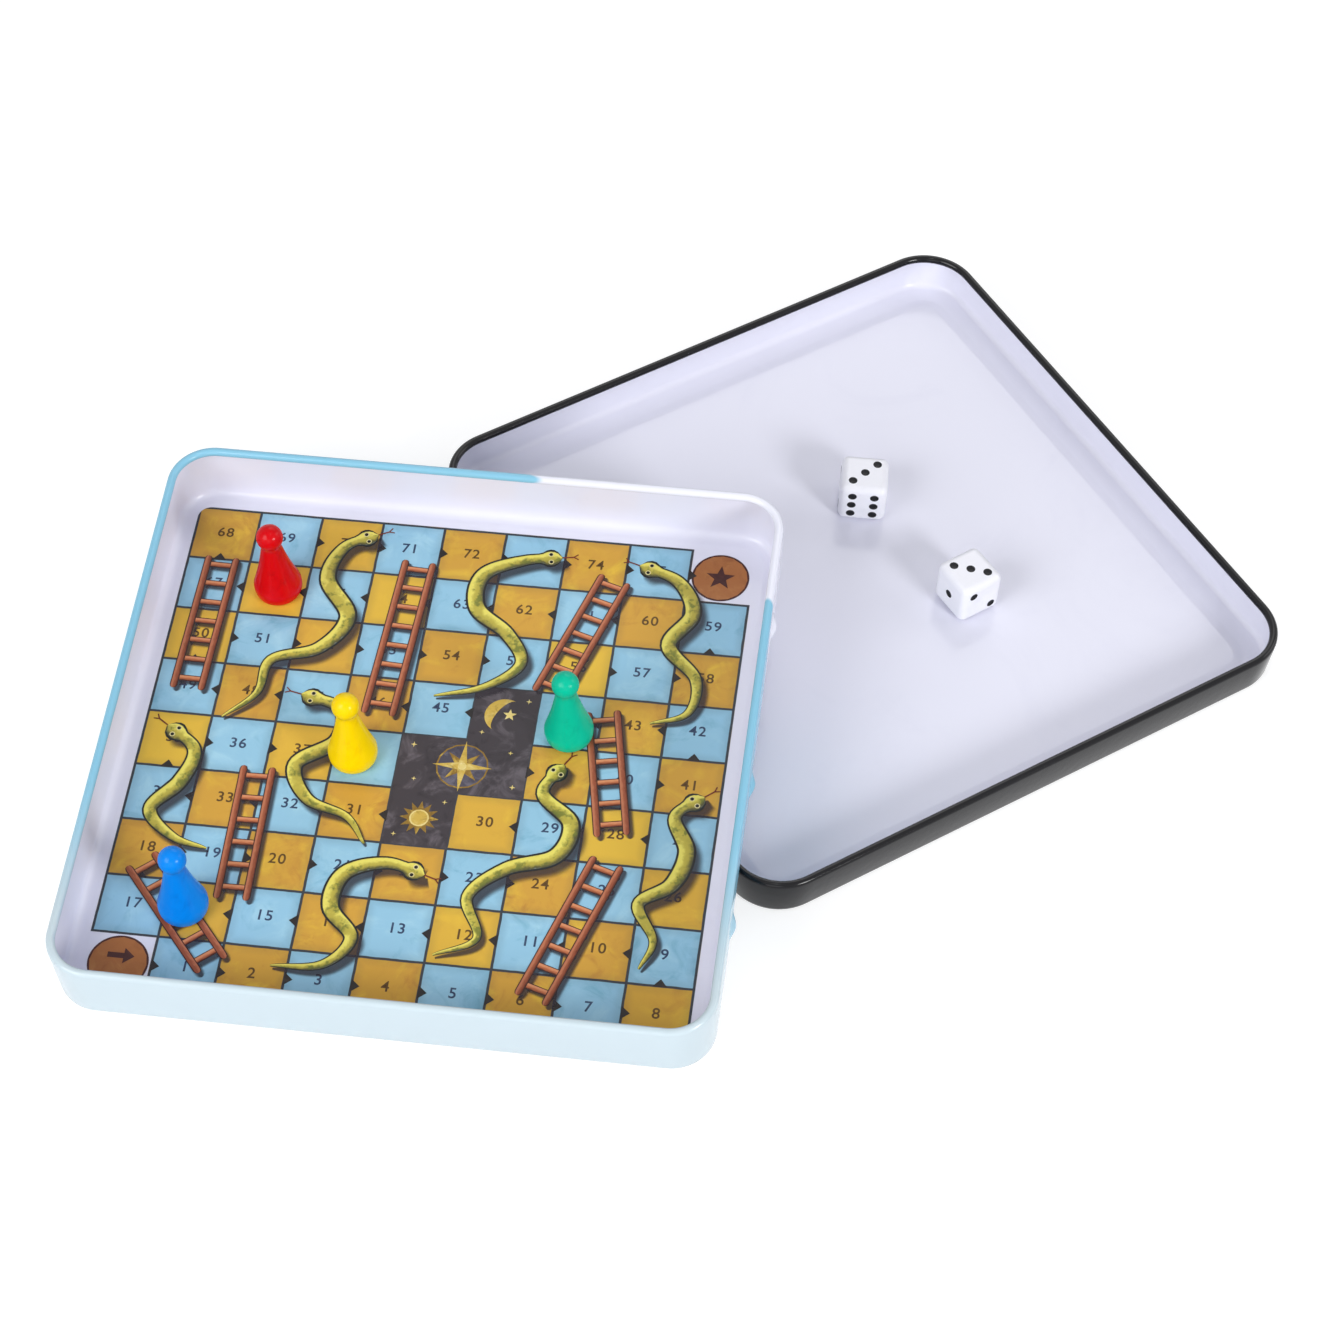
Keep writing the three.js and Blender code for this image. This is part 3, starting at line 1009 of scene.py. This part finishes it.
def snakeWidth(walked, length):
    head = snakes["headLength"]
    if walked < head:
        share = walked / head
        bulge = math.sin(math.pi * min(share / snakes["headShare"], 1)) ** snakes["headRoundness"]
        least = snakes["nose"] if share < snakes["noseShare"] else snakes["neck"]
        return max(bulge * snakes["head"], least)
    swell = min((walked - head) / snakes["swell"], 1)
    width = snakes["neck"] + (snakes["body"] - snakes["neck"]) * math.sin(swell * math.pi / 2)
    left = (length - walked) / (length * snakes["tailShare"])
    if left < 1:
        width = snakes["tail"] + (width - snakes["tail"]) * left ** snakes["tailRoundness"]
    return width


def snakeLine(path):
    spots = [onField(*point).xy for point in path]
    points = smoothPath(spots, snakes["steps"])
    walked = [0.0]
    for here, after in zip(points, points[1:]):
        walked.append(walked[-1] + (after - here).length)
    widths = [snakeWidth(distance, walked[-1]) for distance in walked]
    return points, widths


# Ladders; each runs from its foot to its head, in squares

ladders = {
    "places": (
        ((6.65, 0.55), (7.45, 3.05)),
        ((1.95, 1.75), (1.9, 4.15)),
        ((7.45, 3.5), (7.0, 5.75)),
        ((3.55, 5.3), (3.7, 8.3)),
        ((6.1, 5.95), (6.85, 8.3)),
        ((1.9, 0.6), (0.45, 2.3)),
        ((0.5, 5.45), (0.55, 8.05)),
    ),
    "width": 6.3,
    "rail": 1.75,
    "rung": 1.6,
    "rungPitch": 5.3,
    "firstRung": 0.55,  # share of the pitch from the foot
    "shadowShift": (0.9, -0.9),
    "shadowShare": 1.5,  # of a bar's width
    "across": 4,  # faces across a bar
    "shadowAcross": 6,
    "shades": {"Under": paint(108, 52, 32), "Dark": paint(96, 44, 26), "Outline": paint(52, 30, 26)},
    "rungColours": {"Middle": paint(188, 108, 70), "Light": paint(214, 142, 100)},
    "railColours": {"Middle": paint(150, 80, 54), "Light": paint(188, 116, 84)},
}


def ladderBars(foot, head):
    # Rails, then rungs, each as start, end and width
    foot, head = onField(*foot).xy, onField(*head).xy
    ahead = (head - foot).normalized()
    left = Vector((-ahead.y, ahead.x)) * ladders["width"] / 2
    rails = [(foot + side, head + side, ladders["rail"]) for side in (left, -left)]
    length = (head - foot).length
    count = max(2, round(length / ladders["rungPitch"]))
    rungs = []
    for place in range(count):
        middle = foot + ahead * (length * (place + ladders["firstRung"]) / count)
        rungs.append((middle - left, middle + left, ladders["rung"]))
    return rails, rungs


def stripAxes(tree):
    # X is the place along a strip in millimetres, Y goes from -1 to 1 across it
    sheetUv = addNode(tree, "UVMap", uv_map="ink").outputs["UV"]
    return addNode(tree, "SeparateXYZ", {0: sheetUv}).outputs


def stripLight(tree):
    return addNode(tree, "Attribute", attribute_name="shade").outputs["Fac"]


def makeSnakeInk():
    material, tree, shader = startMaterial("snake ink", "body ink")
    axes = stripAxes(tree)
    spot = coordinatesIn(tree, boardPlace)
    grain = noise(tree, spot, 0.7, 4.0, 0.6, 0.4)
    lit = calc(tree, "ADD", stripLight(tree), calc(tree, "MULTIPLY_ADD", grain, 0.8, -0.4))
    inputs = {"Lit": lit, "Across": axes["Y"], **snakes["colours"]}
    body = useGroup(tree, roundInkGroup, inputs)["Colour"]
    # Blotches on the back, that fade towards the lit side, the dark side and the outline
    blotch = ease(tree, noise(tree, spot, 0.42, 3.0, 0.6), 0.5, 0.62)
    low = ease(tree, lit, -0.7, -0.4)
    high = ease(tree, lit, 0.0, 0.5, 1.0, 0.0)
    blotch = calc(tree, "MULTIPLY", blotch, calc(tree, "MULTIPLY", low, high))
    side = ease(tree, calc(tree, "ABSOLUTE", axes["Y"]), 0.72, 0.8, 0.75, 0.0)
    body = blendColour(tree, calc(tree, "MULTIPLY", blotch, side), body, snakes["blotchColour"])
    tree.links.new(body, shader.inputs["Base Color"])
    finishSurface(tree, shader, spot, "body ink")
    return material


def makeLadderInk(name, colours):
    material, tree, shader = startMaterial(name, "body ink")
    axes = stripAxes(tree)
    spot = coordinatesIn(tree, boardPlace)
    streaks = addNode(tree, "CombineXYZ", {0: calc(tree, "MULTIPLY", axes["X"], 0.25), 1: axes["Y"]})
    grain = noise(tree, streaks.outputs[0], 2.6, 3.0, 0.6, 0.4)
    lit = calc(tree, "ADD", stripLight(tree), calc(tree, "MULTIPLY_ADD", grain, 0.8, -0.35))
    inputs = {"Lit": lit, "Across": axes["Y"], **ladders["shades"], **colours}
    body = useGroup(tree, roundInkGroup, inputs)["Colour"]
    tree.links.new(body, shader.inputs["Base Color"])
    finishSurface(tree, shader, spot, "body ink")
    return material


def makeShadowInk():
    roughness = printedLight["shadowRoughness"]
    material, tree, shader = startMaterial("printed shadow", "flat ink", Roughness=roughness)
    spot = coordinatesIn(tree, boardPlace)
    colour = washColour(tree, spot, inkColours["shadow ink"], printedLight["shadowScale"])
    tree.links.new(colour, shader.inputs["Base Color"])
    across = calc(tree, "ABSOLUTE", stripAxes(tree)["Y"])
    fade = ease(tree, across, *printedLight["shadowEdge"], printedLight["shadowDepth"], 0.0)
    tree.links.new(fade, shader.inputs["Alpha"])
    return material


def makeSnakes():
    bodies = stripBmesh()
    shadows = stripBmesh()
    details = bmesh.new()
    shift = Vector(snakes["shadowShift"])
    for place, path in enumerate(snakes["paths"]):
        points, widths = snakeLine(path)
        level = inkLevels["snakes"] + place * snakes["levelStep"]
        inkStrip(bodies, points, widths, level, snakes["across"])
        shares = [min(width / snakes["body"] + snakes["leastShift"], 1) for width in widths]
        moved = [point + shift * share for point, share in zip(points, shares)]
        wider = [width * snakes["shadowShare"] for width in widths]
        level = inkLevels["snakeShadows"] + place * snakes["shadowStep"]
        inkStrip(shadows, moved, wider, level, snakes["across"])
        addFace(details, points[0], (points[3] - points[0]).normalized())
    putInPlace(bodies, boardPlace)
    makePiece("printed_snakes", bodies, [makeSnakeInk()], "board")
    putInPlace(details, boardPlace)
    inks = [makeInk("eye rim ink"), makeInk("pupil ink"), makeInk("tongue ink")]
    makePiece("snake_details", details, inks, "board")
    return shadows


def addFace(bm, nose, back):
    # Eyes and a forked tongue
    side = Vector((-back.y, back.x))
    behind, beside = snakes["eyePlace"]
    for hand in (-1, 1):
        eye = nose + back * behind + side * (hand * beside)
        addDot(bm, eye, snakes["eyeRim"], inkLevels["eyes"], 0)
        addDot(bm, eye, snakes["eye"], inkLevels["pupils"], 1)
    tip = nose - back * snakes["tongue"]
    addLine(bm, nose, tip, snakes["tongueWidth"], inkLevels["tongues"], 2)
    for hand in (-1, 1):
        end = tip - back * snakes["fork"] + side * (hand * snakes["forkSpread"])
        addLine(bm, tip, end, snakes["forkWidth"], inkLevels["forks"], 2)


def makeLadders(shadows):
    rails = stripBmesh()
    rungs = stripBmesh()
    shift = Vector(ladders["shadowShift"])
    for foot, head in ladders["places"]:
        sides, steps = ladderBars(foot, head)
        for kind, bars, bm in (("rung", steps, rungs), ("rail", sides, rails)):
            for start, end, width in bars:
                points, widths = capsule(start, end, width)
                inkStrip(bm, points, widths, inkLevels[kind + "s"], ladders["across"])
                points, widths = capsule(start + shift, end + shift, width * ladders["shadowShare"])
                level = inkLevels[kind + "Shadows"]
                inkStrip(shadows, points, widths, level, ladders["shadowAcross"])
    for kind, bm in (("rung", rungs), ("rail", rails)):
        putInPlace(bm, boardPlace)
        ink = makeLadderInk(f"printed {kind}s ink", ladders[kind + "Colours"])
        makePiece(f"printed_{kind}s", bm, [ink], "board")
    putInPlace(shadows, boardPlace)
    makePiece("printed_shadows", shadows, [makeShadowInk()], "board")


makeLadders(makeSnakes())
print("snakes and ladders printed")


# Start and finish discs, and the ornament in the dark squares

ornament = {
    "shapes": (
        # column, row, reach, height over the level of the motifs and ink of a dot, where the
        # inks are 0 gold, 1 old gold, 2 pale gold and 3 night; a star also has its number of
        # points, inner reach and turn in radians
        (5.0, 4.5, 5.782, -0.006, 1),
        (5.0, 4.5, 5.428, -0.005, 3),
        (5.0, 4.5, 4.838, 0.0, 1, 4, 1.416, math.pi / 4),
        (5.0, 4.5, 6.608, 0.003, 0, 4, 1.298, 0.0),
        (5.0, 4.5, 0.944, 0.006, 2),
        (5.58, 5.52, 1.584, 0.0, 2, 5, 0.66, 0.3),
        (4.5, 3.5, 4.3, 0.0, 1, 12, 2.494, 0.0),
        (4.5, 3.5, 2.15, 0.003, 2),
        (4.5, 3.5, 1.806, 0.005, 0),
    ),
    "sparks": (
        (4.2, 4.82, 0.75), (5.82, 4.2, 0.7), (5.2, 5.16, 0.6), (5.84, 5.8, 0.7),
        (4.16, 3.18, 0.6), (4.84, 3.82, 0.6), (4.3, 4.2, 0.55), (5.7, 4.82, 0.6),
    ),
    "sparkInner": 0.3,  # share of a spark's reach
    "moon": (5.5, 5.5, 4.4),
    "moonInner": 0.42,  # share of the moon's radius that its hollow side bends in
    "moonTurn": -28,
    "moonSegments": 40,
    "nightScale": 0.3,
}


def addMoon(bm, spot, radius, level, ink):
    segments = ornament["moonSegments"]
    made = bmesh.ops.create_circle(bm, cap_ends=True, segments=segments, radius=radius)["verts"]
    for vert in made:
        if vert.co.x > 0:
            vert.co.x *= -ornament["moonInner"]
    place = Matrix.Translation((spot.x, spot.y, field["floor"] + level))
    turn = Matrix.Rotation(math.radians(ornament["moonTurn"]), 4, "Z")
    bmesh.ops.transform(bm, matrix=place @ turn, verts=made)
    inkFaces(made, ink)


def makeOrnament():
    bm = bmesh.new()
    level = inkLevels["motifs"]
    for column, row, reach, height, ink, *star in ornament["shapes"]:
        add = addStar if star else addDot
        add(bm, onField(column, row).xy, reach, level + height, ink, *star)
    column, row, radius = ornament["moon"]
    addMoon(bm, onField(column, row).xy, radius, level, 0)
    for column, row, reach in ornament["sparks"]:
        inner = reach * ornament["sparkInner"]
        addStar(bm, onField(column, row).xy, reach, level, 2, 4, inner, math.pi / 2)
    putInPlace(bm, boardPlace)
    inks = [makeInk("gold ink"), makeInk("old gold ink"), makeInk("pale gold ink")]
    inks.append(makeInk("night ink", ornament["nightScale"]))
    makePiece("printed_ornament", bm, inks, "board")


discs = {
    "radius": 6.5,
    "line": 0.38,
    "segments": 64,
    "star": (5, 1.4, math.pi / 2),  # number of points, inner reach and turn
    "starReach": 3.4,
    "arrowRise": 1.704,  # above the middle of the start
    "arrowShaft": ((-2.6, 0), (1.0, 0)),
    "arrowShaftWidth": 1.3,
    "arrowHead": ((0.9, -1.9), (3.2, 0.0), (0.9, 1.9)),
    "scale": 0.16,
}


def makeDiscs():
    bm = bmesh.new()
    start, finish = [onField(column + 0.5, row + 0.5).xy for column, row in field["openCells"]]
    for spot in (start, finish):
        addDot(bm, spot, discs["radius"], inkLevels["discs"], 0, discs["segments"])
        addDot(bm, spot, discs["radius"] - discs["line"], inkLevels["discFaces"], 1)
    level = inkLevels["discMarks"]
    addStar(bm, finish, discs["starReach"], level, 0, *discs["star"])
    middle = start + Vector((0, discs["arrowRise"]))
    shaft = [middle + Vector(end) for end in discs["arrowShaft"]]
    addLine(bm, *shaft, discs["arrowShaftWidth"], level, 0)
    addTriangle(bm, [middle + Vector(corner) for corner in discs["arrowHead"]], level, 0)
    putInPlace(bm, boardPlace)
    inks = [makeInk("disc line ink"), makeInk("disc ink", discs["scale"])]
    makePiece("printed_discs", bm, inks, "board")


makeOrnament()
makeDiscs()
print("ornament and discs printed")


# Pawns

pawn = {
    "foot": 4.65,
    "widest": 5.4,
    "widestHeight": 1.9,
    "coneHeight": 2.8,
    "neck": 2.2,
    "neckHeight": 16.1,
    "head": 3.0,
    "headHeight": 18.84,
    "pocket": 3.2,
    "pocketHeight": 1.9,
    "pocketRim": 0.15,
    "hollow": 0.28,  # the cone draws in by this much halfway up
    "footSteps": 8,
    "coneSteps": 16,
    "headSteps": 20,
    "turns": 72,
    "weld": 0.001,
    "crease": 0.6,
    "washScale": 0.12,
    "seamEdge": (0.05, 0.16),  # mould parting line: where its edge starts and ends its fade
    "seamHeight": 0.3,
    "peelHeight": 0.5,
    "relief": 0.05,  # millimetres that one in the two heights above stands for
}
pawnColours = {  # middle, light and dark shade
    "red": (paint(210, 0, 12), paint(224, 4, 18), paint(180, 0, 10)),
    "yellow": (paint(254, 216, 0), paint(255, 226, 10), paint(242, 196, 0)),
    "green": (paint(0, 190, 153), paint(8, 200, 164), paint(0, 172, 138)),
    "blue": (paint(0, 134, 234), paint(4, 144, 241), paint(0, 112, 215)),
}


def pawnLine():
    # Half section from the middle of the pocket round the foot and up to the top of the head
    pocket, rim = pawn["pocket"], pawn["pocketRim"]
    line = [(0, pawn["pocketHeight"]), (pocket, pawn["pocketHeight"]), (pocket, rim), (pocket + rim, 0)]
    flare = pawn["widest"] - pawn["foot"]
    for step in range(pawn["footSteps"] + 1):
        angle = math.pi / 2 * (step / pawn["footSteps"] - 1)
        height = pawn["widestHeight"] * (1 + math.sin(angle))
        line.append((pawn["foot"] + flare * math.cos(angle), height))
    line.append((pawn["widest"], pawn["coneHeight"]))
    for step in range(1, pawn["coneSteps"] + 1):
        share = step / pawn["coneSteps"]
        radius = pawn["widest"] + (pawn["neck"] - pawn["widest"]) * share
        radius -= pawn["hollow"] * math.sin(math.pi * share)
        line.append((radius, pawn["coneHeight"] + (pawn["neckHeight"] - pawn["coneHeight"]) * share))
    low = -math.acos(pawn["neck"] / pawn["head"])
    for step in range(1, pawn["headSteps"] + 1):
        angle = low + (math.pi / 2 - low) * step / pawn["headSteps"]
        height = pawn["headHeight"] + pawn["head"] * math.sin(angle)
        line.append((pawn["head"] * math.cos(angle), height))
    return line


def makePlastic(name, colours, place):
    material, tree, shader = startMaterial(name, "plastic")
    spot = coordinatesIn(tree, place)
    tree.links.new(washColour(tree, spot, colours, pawn["washScale"]), shader.inputs["Base Color"])
    peel = finishSurface(tree, shader, spot, "plastic")
    axes = addNode(tree, "SeparateXYZ", {0: spot}).outputs
    across = calc(tree, "ABSOLUTE", axes["X"])
    seam = ease(tree, across, *pawn["seamEdge"], pawn["seamHeight"], 0.0)
    height = calc(tree, "MULTIPLY_ADD", peel, pawn["peelHeight"], seam)
    bump(tree, shader, height, pawn["relief"] * mm)
    return material


def makePawn(colour):
    place = pawnPlaces[colour]
    bm = bmesh.new()
    verts = [bm.verts.new((radius, 0, height)) for radius, height in pawnLine()]
    edges = [bm.edges.new(pair) for pair in zip(verts, verts[1:])]
    bmesh.ops.spin(
        bm, geom=verts + edges, cent=(0, 0, 0), axis=(0, 0, 1), angle=2 * math.pi,
        steps=pawn["turns"], use_merge=True,
    )
    bmesh.ops.remove_doubles(bm, verts=bm.verts, dist=pawn["weld"])
    bmesh.ops.recalc_face_normals(bm, faces=bm.faces)
    shadeEdges(bm, pawn["crease"])
    putInPlace(bm, place)
    plastic = makePlastic(colour + " plastic", pawnColours[colour], place)
    name = colour + "_pawn"
    makePiece(name, bm, [plastic], name, ["pawn_" + colour])


magnet = {
    "radius": 3.0,
    "thick": 1.5,
    "gap": 0.2,
    "chamfer": 0.18,
    "chamferSteps": 2,
    "turns": 48,
    "crease": 0.5,
    "colours": (paint(178, 178, 182), paint(206, 206, 208), paint(138, 138, 142)),
    "washScale": 0.5,
}


def makeMagnet(colour, steel):
    bm = bmesh.new()
    bmesh.ops.create_cone(
        bm, cap_ends=True, segments=magnet["turns"], radius1=magnet["radius"],
        radius2=magnet["radius"], depth=magnet["thick"],
    )
    rims = [edge for edge in bm.edges if edge.calc_face_angle(0) > magnet["crease"]]
    bmesh.ops.bevel(
        bm, geom=rims, offset=magnet["chamfer"], segments=magnet["chamferSteps"],
        profile=0.5, affect="EDGES", material=-1,
    )
    shadeEdges(bm, magnet["crease"])
    bmesh.ops.translate(bm, verts=bm.verts, vec=(0, 0, magnet["gap"] + magnet["thick"] / 2))
    putInPlace(bm, pawnPlaces[colour])
    makePiece(colour + "_magnet", bm, [steel], colour + "_pawn", ["magnet_" + colour])


magnetSteel = makePlainFinish(
    "nickel plate", "steel", Matrix(), magnet["colours"], magnet["washScale"], Metallic=1.0,
)
for colourName in colourNames:
    makePawn(colourName)
    makeMagnet(colourName, magnetSteel)
print("pawns made")


# Dice

die = {
    "side": 11.0,
    "round": 1.7,
    "pip": 1.02,
    "pipDepth": 0.38,
    "pipSegments": (24, 12),
    "pitch": 2.75,
    "sixShares": (1.05, 0.93),  # of the pitch, along and between the rows of the six
    "roundSteps": 8,
    "crease": 0.7,
    "sunk": 0.004,  # faces deeper than this near a pip are painted
    "paintShare": 1.02,  # of the pip's radius
    "flat": 0.9999,  # share of a normal on one axis, from which a face is flat
    "white": (paint(240, 240, 246), paint(245, 245, 249), paint(233, 233, 238)),
    "whiteScale": 0.15,
    "pipPaint": (paint(20, 20, 24), paint(40, 40, 46), paint(10, 10, 12)),
    "pipPaintScale": 1.2,
}
alongSix, acrossSix = die["sixShares"]
dieFaces = (  # quarter turns about X and Y that bring the top to a side, and its pips in pitches
    (0, 0, ((-1, 1), (0, 0), (1, -1))),
    (2, 0, ((-1, -1), (-1, 1), (1, -1), (1, 1))),
    (0, -1, ((0, 0),)),
    (0, 1, tuple((along * alongSix, side * acrossSix) for side in (-1, 1) for along in (-1, 0, 1))),
    (1, 0, ((-1, 1), (1, -1))),
    (-1, 0, ((-1, -1), (-1, 1), (0, 0), (1, -1), (1, 1))),
)


def pipPlaces():
    quarter = math.pi / 2
    for turnX, turnY, steps in dieFaces:
        turn = Matrix.Rotation(turnY * quarter, 4, "Y") @ Matrix.Rotation(turnX * quarter, 4, "X")
        for stepX, stepY in steps:
            spot = (stepX * die["pitch"], stepY * die["pitch"], die["side"] / 2)
            yield turn @ Matrix.Translation(spot)


def dieBmesh():
    bm = bmesh.new()
    bmesh.ops.create_cube(bm, size=die["side"])
    bmesh.ops.bevel(
        bm, geom=bm.edges[:] + bm.verts[:], offset=die["round"], segments=die["roundSteps"],
        profile=0.5, affect="EDGES", material=-1,
    )
    block = meshObject("block", bm)
    bm = bmesh.new()
    bowl = Matrix.Diagonal((die["pip"], die["pip"], die["pipDepth"], 1))
    around, down = die["pipSegments"]
    for place in pipPlaces():
        bmesh.ops.create_uvsphere(
            bm, u_segments=around, v_segments=down, radius=1, matrix=place @ bowl,
        )
    cutter = meshObject("cutter", bm)
    cut = block.modifiers.new("pips", "BOOLEAN")
    cut.object = cutter
    cut.operation = "DIFFERENCE"
    cut.solver = "EXACT"
    bpy.context.view_layer.update()
    sunk = bpy.data.meshes.new_from_object(block.evaluated_get(bpy.context.evaluated_depsgraph_get()))
    bm = bmesh.new()
    bm.from_mesh(sunk)
    for made in (block, cutter):
        bpy.data.objects.remove(made)
    shadeEdges(bm, die["crease"])
    spots = [place.translation for place in pipPlaces()]
    for face in bm.faces:
        middle = face.calc_center_median()
        nearest = min((middle - spot).length for spot in spots)
        sunkIn = max(abs(value) for value in middle) < die["side"] / 2 - die["sunk"]
        face.material_index = int(sunkIn and nearest < die["pip"] * die["paintShare"])
        face.smooth = max(abs(value) for value in face.normal) < die["flat"]
    return bm


def makeDie(name, body):
    place = dicePlaces[name]
    bm = dieBmesh()
    putInPlace(bm, place)
    white = makePlainFinish(
        name + " white", "die", place, die["white"], die["whiteScale"],
        Coat_Weight=0.1, Coat_Roughness=0.08,
    )
    black = makePlainFinish(
        name + " pip paint", "pip paint", place, die["pipPaint"], die["pipPaintScale"],
    )
    makePiece(body, bm, [white, black], body, [name])


makeDie("die_1", "first_die")
makeDie("die_2", "second_die")
print("dice made")


# Floor, world and lamps

studio = {
    "floorSize": 8.0,
    "floorDrop": 0.05,
    "floorBounce": paint(236, 236, 240),
    "floorSeen": 0.46,  # colour of the floor where the camera sees it, under its own glow
    "floorGlow": 0.7,  # near the object, where its shadow falls; the far floor is white
    "whiteFrom": (0.3, 1.1),
    "ambient": 0.31,
    "ambientColour": (0.92, 0.94, 1.03, 1.0),
    "lamps": (
        # name, heading and elevation of the lamp seen from the object, distance, size, watts
        ("key", 50, 28, 1.4, 0.4, 8.9),
        ("fill", -43, 33, 1.4, 0.9, 10.8),
        ("front", 0, 20, 1.5, 0.8, 2.0),
        ("back", 180, 42, 1.5, 0.9, 3.2),
        ("top", 10, 78, 1.5, 0.2, 0.7),
        ("side", 110, 30, 1.5, 0.7, 2.3),
    ),
}


def makeFloor():
    bm = bmesh.new()
    bmesh.ops.create_grid(bm, x_segments=1, y_segments=1, size=studio["floorSize"] / 2)
    bmesh.ops.translate(bm, verts=bm.verts, vec=(0, 0, -studio["floorDrop"] * mm))
    floor = meshObject("floor", bm)
    material = bpy.data.materials.new("floor")
    material.use_nodes = True
    tree = material.node_tree
    tree.nodes.clear()
    seen = seenRays(tree)
    level = studio["floorSeen"]
    colour = blendColour(tree, seen, studio["floorBounce"], (level, level, level, 1))
    matt = addNode(tree, "BsdfDiffuse", {"Color": colour})
    spot = addNode(tree, "TexCoord").outputs["Object"]
    distance = addNode(tree, "VectorMath", {0: spot}, operation="LENGTH").outputs["Value"]
    glowHere = ease(tree, distance, *studio["whiteFrom"], studio["floorGlow"], 1.0)
    strength = calc(tree, "MULTIPLY", seen, glowHere)
    glow = addNode(tree, "Emission", {"Strength": strength})
    both = addNode(tree, "AddShader", {0: matt.outputs[0], 1: glow.outputs[0]})
    addNode(tree, "OutputMaterial", {"Surface": both.outputs[0]})
    floor.data.materials.append(material)


def makeWorld():
    world = bpy.data.worlds.new("studio")
    scene.world = world
    world.use_nodes = True
    tree = world.node_tree
    seen = seenRays(tree)
    inputs = {"Value": seen, "To Min": studio["ambient"], "To Max": 1.0}
    strength = addNode(tree, "MapRange", inputs).outputs["Result"]
    background = tree.nodes["Background"]
    colour = blendColour(tree, seen, studio["ambientColour"], (1, 1, 1, 1))
    tree.links.new(colour, background.inputs["Color"])
    tree.links.new(strength, background.inputs["Strength"])


def makeLamps():
    low, high = cadBounds
    target = Vector(((low.x + high.x) / 2, (low.y + high.y) / 2, 0))
    for name, heading, elevation, distance, size, watts in studio["lamps"]:
        data = bpy.data.lights.new(name, "AREA")
        data.shape = "DISK"
        data.size = size
        data.energy = watts
        lamp = bpy.data.objects.new(name, data)
        scene.collection.objects.link(lamp)
        around, up = math.radians(heading), math.radians(elevation)
        flat = math.cos(up)
        toLamp = Vector((math.sin(around) * flat, -math.cos(around) * flat, math.sin(up)))
        lamp.location = target + toLamp * distance
        lamp.rotation_euler = (-toLamp).to_track_quat("-Z", "Y").to_euler()
        lamp.visible_camera = False


makeFloor()
makeWorld()
makeLamps()
scene.view_settings.view_transform = "Standard"
print("studio lit")
